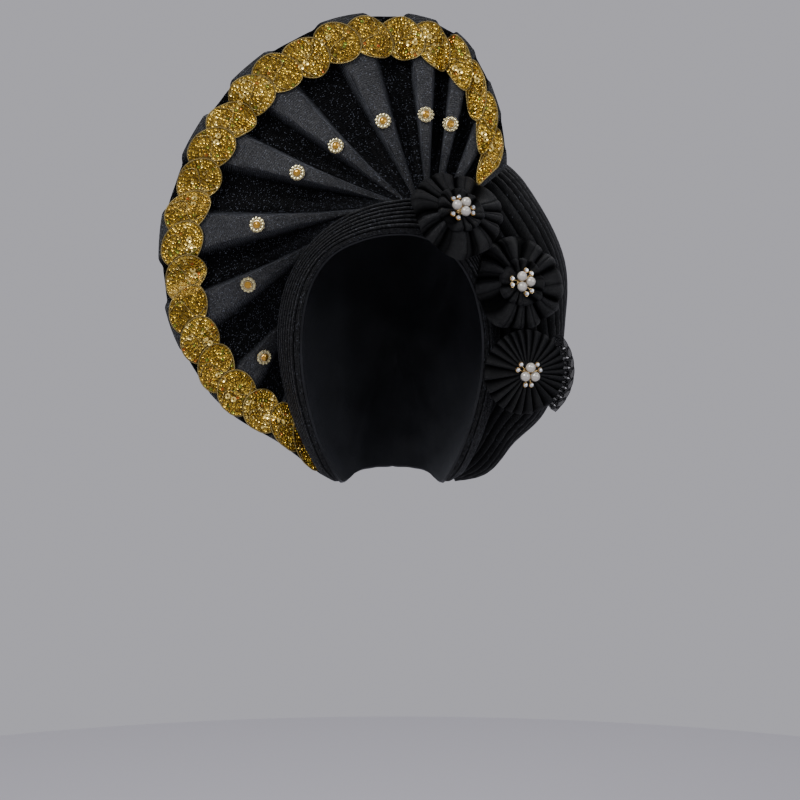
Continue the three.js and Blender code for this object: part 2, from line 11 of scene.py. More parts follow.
import bmesh
import bpy
import numpy as np
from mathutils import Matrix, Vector


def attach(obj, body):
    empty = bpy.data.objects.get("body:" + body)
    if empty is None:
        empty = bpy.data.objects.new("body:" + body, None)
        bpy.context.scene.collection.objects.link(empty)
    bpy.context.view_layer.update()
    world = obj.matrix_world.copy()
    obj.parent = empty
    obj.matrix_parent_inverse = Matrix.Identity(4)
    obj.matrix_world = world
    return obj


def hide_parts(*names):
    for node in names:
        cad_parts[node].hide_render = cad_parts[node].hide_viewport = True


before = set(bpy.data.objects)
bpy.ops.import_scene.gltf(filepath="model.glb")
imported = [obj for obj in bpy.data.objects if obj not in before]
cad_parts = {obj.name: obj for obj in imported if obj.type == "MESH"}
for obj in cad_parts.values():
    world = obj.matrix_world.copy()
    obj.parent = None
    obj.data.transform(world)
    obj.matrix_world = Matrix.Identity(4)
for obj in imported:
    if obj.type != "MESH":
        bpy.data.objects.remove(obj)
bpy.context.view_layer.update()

MM = 0.001

# %% [markdown]
# ## The camera
# The tie is seen from straight in front, about 1.1 m away, with the lens a little above the
# bottom of the face opening. The opening is 130 mm across on a head of adult size, and that fixes
# both the distance and the field of view: a 36 mm sensor with a 66 mm lens.

# %% Camera
CAMERA_PLACE = (0.006, -1.105, -0.170)
CAMERA_LENS, CAMERA_SENSOR = 66.42, 36
camera = bpy.data.objects.new("camera", bpy.data.cameras.new("camera"))
camera.data.sensor_width = CAMERA_SENSOR
camera.data.lens = CAMERA_LENS
camera.location = CAMERA_PLACE
camera.rotation_euler = (math.pi / 2, 0, 0)
bpy.context.collection.objects.link(camera)
bpy.context.scene.camera = camera
print("camera at", CAMERA_PLACE, "lens", CAMERA_LENS)

# %% [markdown]
# ## A head to wrap
# All the cloth lies on a head, so places are given from the middle of the head by two angles:
# "turn" goes round the face as seen from the front (0 up, 90 to the right), "tilt" goes back
# from the face (0 straight ahead, 90 the side of the head). The head is half an egg above its
# middle and a longer half below it. Lengths in the tables are in millimetres.

# %% Tables of the tie
HEAD_HALF_WIDTH, HEAD_HALF_LENGTH, CROWN_RISE, JAW_DROP = 77, 95, 100, 150
WALL, LAYER_GAP = 1.8, 1.0
WRAP_FLOOR = WALL + 1.25 * LAYER_GAP
SEAM_HEIGHT = WALL + 0.3
WRAP_LIFT, WRAP_UNDER = 12, 8
FAN_REACH, FAN_DISH, FAN_FOLD, FAN_HEM, FAN_TUCK = 216, 13, 7, 3.4, 3
SIDE_STAND_OFF = 52
FAN_CLOTH, SIDE_CLOTH, ROSETTE_CLOTH, OVAL_CLOTH, NET_CLOTH = 1.1, 1.2, 0.9, 0.35, 0.25


def table(names, rows):
    """A small table with named columns. Its first column is the key, in rising order."""
    return dict(zip(names.split(), np.array(rows, float).T))


HOOD_EDGE = table("turn tilt", [
    (-180, 115), (-173, 113), (-167, 106), (-163, 88), (-150, 74.5), (-130, 63), (-110, 53),
    (-90, 45), (-60, 36), (-30, 28.6), (0, 27), (30, 30.5), (60, 36.5), (90, 45), (110, 54),
    (130, 64), (150, 74.5), (163, 88), (167, 106), (173, 113), (180, 115)])
WRAP_EDGE = table("turn tilt lift", [
    (-163, 94, 0.86), (-150, 86, 0.95), (-130, 81, 1), (-110, 72.5, 1), (-90, 61, 0.96),
    (-60, 47, 0.9), (-30, 40, 0.88), (0, 40, 0.88), (30, 48, 0.88), (60, 50, 0.88),
    (90, 55.5, 0.88), (110, 63, 0.88), (130, 74, 0.88), (150, 85, 0.86), (163, 95, 0.86)])
FOLDS = table("fold root turn tilt reach", [
    (0, 34, 40.4, 68, 0.63), (1, 29.5, 27, 71.3, 0.795), (2, 25, 15.8, 73.3, 0.927),
    (3, 20, 6.4, 74.4, 0.972), (4, 14, -9.8, 74.5, 0.98), (5, 6.5, -31.7, 74.5, 0.938),
    (6, 0, -49.7, 74.5, 0.886), (7, -22, -74.3, 75.4, 0.822), (8, -58, -96.4, 76.8, 0.758),
    (9, -103, -121.8, 78.9, 0.678), (10, -130, -141.7, 83.9, 0.61), (11, -156, -160.5, 95, 0.64)])
SIDE = table("turn past end bulge hollow", [
    (10, 21, 108, 0.08, 2), (20, 14, 122, 0.42, 2.6), (37, 6, 144, 1, 3),
    (55, 0, 156, 1.035, 2), (75, -2, 161, 1.06, 1.25), (95, -2, 162, 0.99, 1),
    (115, -2, 160, 1.02, 1), (126, -2, 154, 0.95, 1), (138, -1.5, 144, 0.7, 1.1),
    (150, -1, 130, 0.56, 1.3), (160, -1, 116, 0.16, 1.5)])
FULLNESS = table("across full", [
    (0, 0), (0.03, 0.03), (0.06, 0.25), (0.1, 0.55), (0.15, 0.78), (0.22, 0.88), (0.32, 0.91),
    (0.45, 0.9), (0.6, 0.81), (0.75, 0.58), (0.88, 0.28), (1, 0)])
last_fold = int(FOLDS["fold"][-1])
print("tables:", len(HOOD_EDGE["turn"]), "places on the face edge,", last_fold, "folds in the fan")

# %% Reading the tables and standing on the head


def along(rows, column, at):
    """A smooth value of one column at a key: between two rows it is a cubic that leaves each row
    with the slope from the row before it to the row after it."""
    key, value = list(rows.values())[0], rows[column]
    at = np.clip(np.asarray(at, float), key[0], key[-1])
    slope = np.empty_like(value)
    slope[1:-1] = (value[2:] - value[:-2]) / (key[2:] - key[:-2])
    slope[[0, -1]] = (np.diff(value) / np.diff(key))[[0, -1]]
    i = np.clip(np.searchsorted(key, at, side="right") - 1, 0, len(key) - 2)
    span = key[i + 1] - key[i]
    t = (at - key[i]) / span
    return ((2 * t**3 - 3 * t**2 + 1) * value[i] + (t**3 - 2 * t**2 + t) * slope[i] * span
            + (3 * t**2 - 2 * t**3) * value[i + 1] + (t**3 - t**2) * slope[i + 1] * span)


def direction(turn, tilt):
    """Unit vectors from the middle of the head: (sin tilt sin turn, -cos tilt, sin tilt cos turn)."""
    turn, tilt = np.broadcast_arrays(np.radians(turn), np.radians(tilt))
    return np.stack([np.sin(tilt) * np.sin(turn), -np.cos(tilt), np.sin(tilt) * np.cos(turn)], -1)


def on_head(turn, tilt, height):
    """Points at a height off the head: the direction times (radius of the egg + height)."""
    d = direction(turn, tilt)
    rise = np.where(d[..., 2] > 0, CROWN_RISE, JAW_DROP)
    spread = (d[..., 0] / HEAD_HALF_WIDTH)**2 + (d[..., 1] / HEAD_HALF_LENGTH)**2 + (d[..., 2] / rise)**2
    return d * (1 / np.sqrt(spread) + height)[..., None] + np.array([0, 0, -CROWN_RISE])


def smooth(x):
    """Rises from 0 to 1 with level ends as x goes from 0 to 1."""
    x = np.clip(x, 0, 1)
    return x * x * (3 - 2 * x)


def unit(vectors):
    """Vectors brought to length 1."""
    return vectors / np.linalg.norm(vectors, axis=-1, keepdims=True)


def polar(radius, angle, height):
    """Points (radius cos angle, radius sin angle, height), from numbers or arrays of any shape."""
    return np.stack(np.broadcast_arrays(radius * np.cos(angle), radius * np.sin(angle), height), -1)


print("crown of the hood's inside:", np.round(on_head(0, 90, 0), 2))

# %% [markdown]
# ## From a grid of points to cloth
# Each cloth is a sheet: a grid of points in the middle of its thickness. To make it a closed body
# we push a copy out along the normals on each side and sew the borders together. The grid also
# gives a UV map in metres, measured along the cloth, so that the weave keeps its real size. Where
# the cloth is pleated, the width is measured from the middle of each pleat, because the threads
# run straight along a pleat however close the pleats come together.

# %% Helpers for cloth
PLEAT_SHIFT = 37.0  # millimetres of pattern
SAME_POINT = 2e-6  # metres


def grid_normals(points, closed=False):
    """Normals of a grid: the cross product of its two directions, found by differences."""
    if closed:
        ring = np.concatenate([points[-2:-1], points, points[1:2]])
        across = ring[2:] - ring[:-2]
    else:
        across = np.gradient(points, axis=0)
    normal = np.cross(across, np.gradient(points, axis=1))
    size = np.linalg.norm(normal, axis=-1, keepdims=True)
    normal = normal / np.maximum(size, 1e-9)
    for pole, beside in ((0, 1), (-1, -2)):
        if size[:, pole].max() < 1e-6:
            normal[:, pole] = normal[:, beside].mean(0)
    return normal


def grid_uv(points, samples=None):
    """UVs in metres for the corners of each cell. U is the length along the first direction from
    the middle of the cell's pleat, V the length along the second direction. Each pleat is shifted
    to a part of the pattern that is its own."""
    n, m = points.shape[:2]
    u = np.zeros((n, m))
    u[1:] = np.cumsum(np.linalg.norm(np.diff(points, axis=0), axis=-1), axis=0)
    v = np.zeros((n, m))
    v[:, 1:] = np.cumsum(np.linalg.norm(np.diff(points, axis=1), axis=-1), axis=1)
    if samples:
        pleat = (np.arange(n - 1) + samples // 2) // samples
        middle = np.minimum(pleat * samples, n - 1)
        shift = pleat[:, None] * PLEAT_SHIFT - u[middle]
        low, high = u[:-1] + shift, u[1:] + shift
    else:
        low, high = u[:-1], u[1:]
    us = np.stack([low[:, :-1], high[:, :-1], high[:, 1:], low[:, 1:]], -1)
    vs = np.stack([v[:-1, :-1], v[1:, :-1], v[1:, 1:], v[:-1, 1:]], -1)
    return np.stack([us, vs], -1).reshape(-1, 4, 2) * MM


def cells(n, m, start=0):
    """The four corners of each cell of an n by m grid whose first point has number start."""
    i, j = np.meshgrid(np.arange(n - 1), np.arange(m - 1), indexing="ij")
    a = start + i * m + j
    return np.stack([a, a + m, a + m + 1, a + 1], -1).reshape(-1, 4)


def new_mesh(name, points, faces, uv=None, sharp=42, tint_and_painted_light=None):
    """A mesh object from an array of points in millimetres and one of four-cornered faces, with
    doubled points merged and sharp folds marked. It rides on the tie. It can carry a number from 0
    to 1 for each point, which a material can read: on a sequin it picks the foil's colour, on cloth
    it is painted light, 1 on crests open to the light and 0 down in the folds."""
    mesh = bpy.data.meshes.new(name)
    mesh.vertices.add(len(points))
    mesh.vertices.foreach_set("co", (points * MM).astype(np.float32).ravel())
    mesh.loops.add(faces.size)
    mesh.loops.foreach_set("vertex_index", faces.astype(np.int32).ravel())
    mesh.polygons.add(len(faces))
    mesh.polygons.foreach_set("loop_start", np.arange(0, faces.size, 4, dtype=np.int32))
    mesh.polygons.foreach_set("use_smooth", np.ones(len(faces), bool))
    if uv is not None:
        mesh.uv_layers.new(name="cloth").data.foreach_set("uv", uv.astype(np.float32).ravel())
    # the number for each point: the foil colour of a sequin, the painted light and shade of a cloth
    if tint_and_painted_light is not None:
        mesh.attributes.new("tint_and_painted_light", "FLOAT", "POINT").data.foreach_set("value", tint_and_painted_light.astype(np.float32))
    mesh.update(calc_edges=True)
    work = bmesh.new()
    work.from_mesh(mesh)
    bmesh.ops.remove_doubles(work, verts=work.verts, dist=SAME_POINT)
    work.to_mesh(mesh)
    work.free()
    mesh.set_sharp_from_angle(angle=math.radians(sharp))
    obj = bpy.data.objects.new(name, mesh)
    bpy.context.collection.objects.link(obj)
    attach(obj, "root")
    return obj


def shell_parts(points, wall, samples=None, closed=False):
    """Points, faces and UVs of a closed cloth: the grid pushed half a wall each way, with its
    borders joined. The face that is listed first looks along the grid's normal."""
    n, m = points.shape[:2]
    half = np.broadcast_to(np.asarray(wall, float), (n, m))[..., None] / 2
    offset = grid_normals(points, closed) * half
    uv = grid_uv(points, samples)
    front, back = cells(n, m), cells(n, m, n * m)[:, ::-1]
    count = np.arange(n * m).reshape(n, m)
    rim = [count[::-1, 0], count[:, -1]] + ([] if closed else [count[0], count[-1, ::-1]])
    faces, uvs = [front, back], [uv, uv[:, ::-1]]
    for line in rim:
        strip = np.stack([line[:-1], line[:-1] + n * m, line[1:] + n * m, line[1:]], -1)
        faces.append(strip[:, ::-1])
        uvs.append(np.zeros((len(strip), 4, 2)))
    both = np.concatenate([(points + offset).reshape(-1, 3), (points - offset).reshape(-1, 3)])
    return both, np.concatenate(faces), np.concatenate(uvs)


def cloth(name, points, wall, samples=None, closed=False, sharp=42, tint_and_painted_light=None):
    """A closed cloth from a grid of points, turned the right way out. Its painted light, if given, has the
    grid's shape.
    """
    both, faces, uv = shell_parts(points, wall, samples, closed)
    a, b, c, d = (both[faces[:, k]] for k in range(4))
    volume = np.einsum("ij,ij->i", a, np.cross(b, c)).sum() + np.einsum("ij,ij->i", a, np.cross(c, d)).sum()
    if volume < 0:
        faces, uv = faces[:, ::-1], uv[:, ::-1]
    obj = new_mesh(name, both, faces, uv, sharp, None if tint_and_painted_light is None else np.tile(tint_and_painted_light.ravel(), 2))
    print(f"{name}: {len(obj.data.polygons)} faces")
    return obj


def cloth_area(points):
    """Area in square metres of a grid: the sum of half the cross products of its cells' diagonals."""
    first = points[1:, 1:] - points[:-1, :-1]
    second = points[:-1, 1:] - points[1:, :-1]
    return np.linalg.norm(np.cross(first, second), axis=-1).sum() / 2 * MM * MM


def declare_sheet(obj, points):
    """Prints the flat size that a sheet is cut from: its longest row, its longest column and its
    area, where the columns of several layers are added up. Where a gather takes up more than half
    of the rows, the width is the one that its area fills."""
    layers = points if isinstance(points, list) else [points]
    width = max(np.linalg.norm(np.diff(layer, axis=0), axis=-1).sum(0).max() for layer in layers) * MM
    length = sum(np.linalg.norm(np.diff(layer, axis=1), axis=-1).sum(1).max() for layer in layers) * MM
    area = sum(cloth_area(layer) for layer in layers)
    width = min(width, 2 * area / length)
    print(f"{obj.name}: cut from {width:.3f} x {length:.3f} m, {area:.4f} m2")


print("cloth helpers ready")

# %% Helpers for small shapes


def turned_shape(profile, sides):
    """A turned shape: the profile's (radius, height) pairs, from the bottom up its outside, are
    carried round the axis: x = r cos a, y = r sin a, z = h."""
    angle = np.linspace(0, 2 * np.pi, sides + 1)[:, None]
    radius, height = np.array(profile, float).T
    points = polar(radius, angle, height)
    return points.reshape(-1, 3), cells(sides + 1, len(profile)), grid_uv(points)


def tube(middle, radius, sides, closed=False):
    """A round cord along a line of points. Its section is set out from the axis that the line
    runs along least, and its ends are closed unless the line is."""
    line = np.concatenate([middle[-2:-1], middle, middle[1:2]]) if closed else middle
    along_line = unit(line[2:] - line[:-2] if closed else np.gradient(middle, axis=0))
    least = np.eye(3)[np.abs(along_line).max(0).argmin()]
    first = unit(np.cross(along_line, least))
    second = np.cross(along_line, first)
    radii = np.full(len(middle), float(radius))
    if not closed:
        middle, first, second = (np.concatenate([a[:1], a, a[-1:]]) for a in (middle, first, second))
        radii = np.concatenate([[0], radii, [0]])
    angle = np.linspace(0, 2 * np.pi, sides + 1)[:, None]
    ring = np.cos(angle)[None] * first[:, None] + np.sin(angle)[None] * second[:, None]
    points = middle[:, None] + ring * radii[:, None, None]
    return points.reshape(-1, 3), cells(len(middle), sides + 1)[:, ::-1], grid_uv(points)[:, ::-1]


def placed(shape, places, facing=(0.0, 0, 1), right=None):
    """Copies of a shape at many places, each with its own z (facing) and x (right) direction, or
    all upright."""
    points, faces, uv = shape
    facing = unit(np.broadcast_to(facing, places.shape))
    right = np.broadcast_to([1.0, 0, 0] if right is None else right, places.shape)
    right = unit(right - facing * (right * facing).sum(1, keepdims=True))
    basis = np.stack([right, np.cross(facing, right), facing], 1)
    many = places[:, None] + np.einsum("pk,nkc->npc", points, basis)
    numbers = faces[None] + (np.arange(len(places)) * len(points))[:, None, None]
    return many.reshape(-1, 3), numbers.reshape(-1, 4), np.tile(uv, (len(places), 1, 1))


def together(parts):
    """Several (points, faces, uv) parts as one."""
    starts = np.cumsum([0] + [len(part[0]) for part in parts[:-1]])
    return (np.concatenate([part[0] for part in parts]),
            np.concatenate([part[1] + start for part, start in zip(parts, starts)]),
            np.concatenate([part[2] for part in parts]))


def ring_shape(radius):
    """A cupped ring of eight sides with a hole: a sequin."""
    points, faces, uv = turned_shape([(1, 0), (0.93, 0.2), (0.36, -0.08), (1, 0)], 8)
    return points * radius, faces, uv * radius


print("a sequin has", len(ring_shape(1)[1]), "faces")

# %% [markdown]
# ## The black cloth
# The cloth is a stiff black brocade with fine ribs and a few bright metal threads, which glint
# where a fold turns to the light. It is nearly black in itself: what shows its folds is the sheen
# of its fibres, and painted light: each piece carries a number for each point, 1 on crests open
# to the light and 0 down in the folds, which paints shade into the folds and sheen on the crests.
# The ribs and the cross threads are two wave textures on the cloth's own UVs, in metres, so that
# they follow every pleat, and the bright threads are small cells picked at random.

# %% Node helpers


def node(tree, kind, inputs=(), **settings):
    """Adds a node, sets its properties and its input values, and links what is a socket."""
    made = tree.nodes.new(kind)
    for key, value in settings.items():
        setattr(made, key, value)
    for key, value in dict(inputs).items():
        if isinstance(value, bpy.types.NodeSocket):
            tree.links.new(value, made.inputs[key])
        else:
            made.inputs[key].default_value = value
    return made


def new_material(name, **values):
    """A material with a Principled shader whose constant sockets are set here."""
    material = bpy.data.materials.new(name)
    material.use_nodes = True
    shader = material.node_tree.nodes["Principled BSDF"]
    for key, value in values.items():
        shader.inputs[key.replace("_", " ")].default_value = value
    return material, material.node_tree, shader


def ramp(tree, factor, stops):
    """A colour ramp from (position, colour) stops, fed by a factor."""
    made = node(tree, "ShaderNodeValToRGB", {"Fac": factor})
    band = made.color_ramp.elements
    while len(band) < len(stops):
        band.new(0.5)
    for element, (position, colour) in zip(band, stops):
        element.position = position
        element.color = (*colour, 1)
    return made.outputs["Color"]


def wave(tree, coordinates, pitch, axis):
    """Bands a pitch apart along an axis. The texture's own period is 2 pi / 20 at scale 1."""
    inputs = {"Vector": coordinates, "Scale": 2 * math.pi / 20 / pitch, "Distortion": 0.0, "Detail": 0.0}
    made = node(tree, "ShaderNodeTexWave", inputs, bands_direction=axis, wave_profile="SIN")
    return made.outputs["Fac"]


def noise(tree, scale, detail):
    """Soft noise from 0 to 1 on the piece's own coordinates."""
    place = node(tree, "ShaderNodeTexCoord").outputs["Object"]
    made = node(tree, "ShaderNodeTexNoise", {"Vector": place, "Scale": scale, "Detail": detail})
    return made.outputs["Fac"]


def maths(tree, operation, *values):
    """The result of one operation on two or three numbers."""
    return node(tree, "ShaderNodeMath", dict(enumerate(values)), operation=operation).outputs["Value"]


def mapped(tree, value, low, high, start=0.0, stop=1.0):
    """A number carried from start..stop to low..high, and held at those ends."""
    limits = {"Value": value, "From Min": start, "From Max": stop, "To Min": low, "To Max": high}
    return node(tree, "ShaderNodeMapRange", limits).outputs["Result"]


def mixed(tree, factor, first, second):
    """A number between two others."""
    return node(tree, "ShaderNodeMix", {0: factor, 2: first, 3: second}, data_type="FLOAT").outputs[0]


def mixed_colour(tree, factor, first, second, blend="MIX"):
    """A colour between two others, or their product."""
    made = node(tree, "ShaderNodeMix", {0: factor, 6: first, 7: second}, data_type="RGBA", blend_type=blend)
    return made.outputs[2]


def bumps(tree, shader, height, strength, distance):
    """Tilts the shader's normal by a height from 0 to 1 that stands for a distance in metres."""
    made = node(tree, "ShaderNodeBump", {"Height": height, "Strength": strength, "Distance": distance})
    tree.links.new(made.outputs["Normal"], shader.inputs["Normal"])


print("node helpers ready")

# %% Black cloth
DARK, PALE = (0.004, 0.0044, 0.0055), (0.020, 0.021, 0.025)
SPECK_COLOUR = (0.11, 0.12, 0.15, 1)
# painted shade: the grey that the cloth's colour is multiplied by down in the folds
PAINTED_FOLD_SHADE = (0.12, 0.12, 0.13, 1)
SPECKS_PER_METRE = 2400.0


def black_cloth(name, shade, gloss, sheen, rib=0.0012, specks=0.0, grain=0.35):
    """Ribbed black cloth: colour = shade times a grey from soft noise and the ribs, with specks of
    bright thread; bump = ribs + cross threads + unevenness. The piece's painted light, 1 on crests
    open to the light and 0 down in the folds, multiplies the colour down to a painted shade in the
    folds and sets a painted sheen and gloss, times 1 +- the grain."""
    material, tree, shader = new_material(name, Sheen_Roughness=0.4, Sheen_Tint=(0.8, 0.84, 0.95, 1))
    cloth_uv = node(tree, "ShaderNodeUVMap", uv_map="cloth").outputs["UV"]
    weave = maths(tree, "MULTIPLY", wave(tree, cloth_uv, rib, "Y"), wave(tree, cloth_uv, rib * 0.55, "X"))
    soft, fine = noise(tree, 45.0, 4.0), noise(tree, 900.0, 2.0)
    dark, pale = (tuple(c * shade for c in tone) for tone in (DARK, PALE))
    colour = ramp(tree, mixed(tree, 0.5, soft, weave), [(0.18, dark), (0.62, pale)])
    tint_and_painted_light = node(tree, "ShaderNodeAttribute", attribute_name="tint_and_painted_light").outputs["Fac"]
    # painted shade: the colour falls to that grey where the painted light is 0, in the folds
    open_light = mixed_colour(tree, tint_and_painted_light, PAINTED_FOLD_SHADE, (1, 1, 1, 1))
    colour = mixed_colour(tree, 1.0, colour, open_light, "MULTIPLY")
    mottle = mapped(tree, fine, 1 - grain, 1 + grain, 0.35, 0.65)
    # painted sheen and gloss: full on crests open to the light, far less in the folds
    levels = {"Sheen Weight": (sheen / 12, sheen), "Specular IOR Level": (gloss / 7, gloss)}
    for socket, (least, most) in levels.items():
        level = maths(tree, "MULTIPLY", mapped(tree, tint_and_painted_light, least, most), mottle)
        tree.links.new(level, shader.inputs[socket])
    cell = node(tree, "ShaderNodeTexVoronoi", {"Vector": cloth_uv, "Scale": SPECKS_PER_METRE})
    pick = node(tree, "ShaderNodeSeparateColor", {"Color": cell.outputs["Color"]}).outputs["Red"]
    chosen = maths(tree, "GREATER_THAN", pick, 1 - specks)
    tree.links.new(mixed_colour(tree, chosen, colour, SPECK_COLOUR), shader.inputs["Base Color"])
    tree.links.new(mixed(tree, chosen, mapped(tree, soft, 0.40, 0.60), 0.25), shader.inputs["Roughness"])
    bumps(tree, shader, maths(tree, "MULTIPLY_ADD", fine, 0.5, weave), 0.7, 0.0004)
    return material


def finish(obj, material, slot, *nodes):
    """Gives a piece its material and hides the plain solids that it stands for. The slot is not used."""
    obj.data.materials.append(material)
    if nodes:
        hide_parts(*nodes)


# The same brocade is given a lower shade, sheen and gloss on the face wrap and lower still on the side:
# painted shade, where less light falls than on the fan.
fan_cloth = black_cloth("black brocade, fan", 1.0, 0.35, 0.28, rib=0.0016, specks=0.03, grain=0.5)
wrap_cloth = black_cloth("black brocade, face wrap", 0.6, 0.3, 0.15, rib=0.0014, specks=0.01, grain=0.6)
side_cloth = black_cloth("black brocade, side", 0.4, 0.18, 0.05, specks=0.002)
rosette_cloth = black_cloth("black satin, rosettes", 0.3, 0.23, 0.04, rib=0.0007, grain=0.15)
# The hood's cloth is given a lighter shade than it has: painted light, so that its inside shows in the
# shade.
hood_cloth = black_cloth("black cloth, hood", 1.4, 0.2, 0.1, rib=0.0006, grain=0.15)
print("cloths:", fan_cloth.name, "/", wrap_cloth.name, "/", rosette_cloth.name)

# %% [markdown]
# ## Gold, net, pearl and stones
# The ovals are woven with flat gold thread, the cord is a duller twisted thread, and the sequins
# are foil: each reads its own number, which picks gold for most, and for a few a painted red or
# green, a painted glint of the colours that foil shows where it splits the light. The stones are
# cut glass with foil behind, so they mirror more than they let through.

# %% Gold, net, pearl and stones
FEW_ODD = 0.08


def gold_cloth(name):
    """Woven gold: colour and bump from fine noise."""
    material, tree, shader = new_material(name, Metallic=0.75, Roughness=0.42)
    grain = noise(tree, 700.0, 3.0)
    stops = [(0.3, (0.05, 0.03, 0.006)), (0.55, (0.18, 0.11, 0.018)), (0.75, (0.40, 0.27, 0.07))]
    tree.links.new(ramp(tree, grain, stops), shader.inputs["Base Color"])
    bumps(tree, shader, grain, 0.8, 0.0004)
    return material


def twisted_thread(name, colour):
    """A shiny twisted thread: slanting bands across its own UVs as bump and tone."""
    material, tree, shader = new_material(name, Metallic=0.6, Roughness=0.36)
    cloth_uv = node(tree, "ShaderNodeUVMap", uv_map="cloth").outputs["UV"]
    bands = wave(tree, cloth_uv, 0.0011, "DIAGONAL")
    dark = tuple(c * 0.35 for c in colour)
    tree.links.new(ramp(tree, bands, [(0.0, dark), (0.6, colour)]), shader.inputs["Base Color"])
    bumps(tree, shader, bands, 0.7, 0.0003)
    return material


def foil(name):
    """Sequin foil: mirror-like, tinted by the number that each sequin carries, which is below
    FEW_ODD for the red and green ones, whose colour is a painted glint."""
    material, tree, shader = new_material(name, Metallic=0.95, Roughness=0.17)
    tint_and_painted_light = node(tree, "ShaderNodeAttribute", attribute_name="tint_and_painted_light").outputs["Fac"]
    red, green, brown = (0.55, 0.10, 0.02), (0.26, 0.36, 0.04), (0.20, 0.11, 0.008)
    gold, bright, pale = (0.48, 0.30, 0.03), (0.78, 0.52, 0.07), (0.98, 0.74, 0.22)
    # the red and green below FEW_ODD are painted glints
    stops = [(0.0, red), (0.04, green), (FEW_ODD, brown), (0.5, gold), (0.92, bright), (1.0, pale)]
    tree.links.new(ramp(tree, tint_and_painted_light, stops), shader.inputs["Base Color"])
    return material


def uneven(name, colour, spread=0.12, grain=300.0, **values):
    """A plain finish with a little unevenness of tone from noise."""
    material, tree, shader = new_material(name, **values)
    low, high = (tuple(min(1, c * (1 + sign * spread)) for c in colour) for sign in (-1, 1))
    tone = ramp(tree, noise(tree, grain, 2.0), [(0.3, low), (0.7, high)])
    tree.links.new(tone, shader.inputs["Base Color"])
    return material


def net_cloth(name, mesh=0.00045):
    """Net: open where both sets of threads are thin, so alpha rises with the threads' height."""
    material, tree, shader = new_material(name, Base_Color=(0.045, 0.045, 0.05, 1), Roughness=0.6)
    cloth_uv = node(tree, "ShaderNodeUVMap", uv_map="cloth").outputs["UV"]
    most = maths(tree, "MAXIMUM", wave(tree, cloth_uv, mesh, "X"), wave(tree, cloth_uv, mesh, "Y"))
    tree.links.new(mapped(tree, most, 0.42, 0.72, 0.4, 0.95), shader.inputs["Alpha"])
    return material


pale_gold_thread = twisted_thread("pale gold thread", (0.40, 0.30, 0.10))
sequin_gold = foil("sequin foil")
sheer_net = net_cloth("sheer black net")
gold_metal = uneven("gold metal", (0.80, 0.58, 0.26), Metallic=1.0, Roughness=0.2)
silver_metal = uneven("warm silver metal", (0.66, 0.57, 0.36), Metallic=1.0, Roughness=0.25)
pearl_white = uneven("pearl", (0.52, 0.49, 0.44), 0.05, 150.0, Metallic=0.3, Roughness=0.2,
                     Coat_Weight=1.0, Coat_Roughness=0.04)
clear_stone = uneven("clear stone", (0.82, 0.85, 0.90), 0.1, Metallic=0.75, Roughness=0.06)
warm_stone = uneven("pale yellow stone", (0.66, 0.60, 0.34), 0.2, Metallic=0.75, Roughness=0.08)
amber_stone = uneven("amber stone", (0.50, 0.26, 0.015), 0.15, Metallic=0.7, Roughness=0.1,
                     Coat_Weight=0.8)
print("metal, pearl and stone finishes ready")

# %% [markdown]
# ## The hood
# Under everything sits a plain close cap. It is a grid of turns round the head by steps from the
# face edge back to the middle of the back, at half a wall off the head.

# %% Hood
turn = np.linspace(-180, 180, 361)[:, None]
share = np.linspace(0, 1, 49)[None, :] ** 0.9
edge = along(HOOD_EDGE, "tilt", turn)
hood_points = on_head(turn + 0 * share, edge + (180 - edge) * share, WALL / 2 + 0 * turn * share)
hood = cloth("hood_cloth", hood_points, WALL, closed=True, tint_and_painted_light=np.ones(hood_points.shape[:2]))
finish(hood, hood_cloth, "black_cloth", "hood")
declare_sheet(hood, hood_points)

# %% [markdown]
# ## The wrap round the face
# The front of the cloth is laid in narrow pleats that run side by side round the face, from one
# jaw over the brow to the other. Each pleat is a rounded ridge with a sharp groove beside it. We
# carry one closed cross-section along the face: out over a smooth turned edge and the ridges, and
# back underneath. It shrinks on to the seam at each jaw. It is sewn down all round.

# %% Face wrap
PLEATS, PLEAT_DEPTH, TURNED_EDGE = 7, 2.5, 0.1
STATIONS, RIDGE_SAMPLES, JAW_TURN, JAW_TAPER = 300, 12, 163, 6
turn = np.linspace(-JAW_TURN, JAW_TURN, STATIONS)[:, None]
over = np.concatenate([np.linspace(0, TURNED_EDGE, 9)[:-1],
                       np.linspace(TURNED_EDGE, 1, PLEATS * RIDGE_SAMPLES + 1), [1.012]])[None, :]
under = np.linspace(1, 0, 14)[None, :]
phase = np.clip((over - TURNED_EDGE) / (1 - TURNED_EDGE), 0, 1) * PLEATS
ridge = np.abs(np.sin(np.pi * phase)) ** 0.65
top_start = WRAP_FLOOR + WALL + 2.4
lift = WRAP_LIFT * along(WRAP_EDGE, "lift", turn)
rolled = np.sqrt(np.clip(over / TURNED_EDGE, 0.02, 1))
waver = 1 + 0.12 * np.sin(np.radians(turn) * 7 + phase * 1.7)
height = top_start + (lift - top_start) * over - PLEAT_DEPTH * waver * (1 - ridge) * (over >= TURNED_EDGE)
turned_edge = SEAM_HEIGHT + (height - PLEAT_DEPTH * 0.6 - SEAM_HEIGHT) * rolled
height = np.where(over < TURNED_EDGE, turned_edge, height)
height = np.where(over > 1, height - 1.2, height)
low = SEAM_HEIGHT + (WRAP_UNDER - SEAM_HEIGHT) * under + 0 * turn
across = np.concatenate([over, under], 1)
height = np.concatenate([height, low], 1)
inner, outer = along(HOOD_EDGE, "tilt", turn), along(WRAP_EDGE, "tilt", turn)
ring = on_head(turn + 0 * across, inner + (outer - inner) * across, height)
ring = np.concatenate([ring, ring[:, :1]], 1)
taper = np.clip((JAW_TURN - np.abs(turn)) / JAW_TAPER, 0, 1)[..., None] ** 0.6
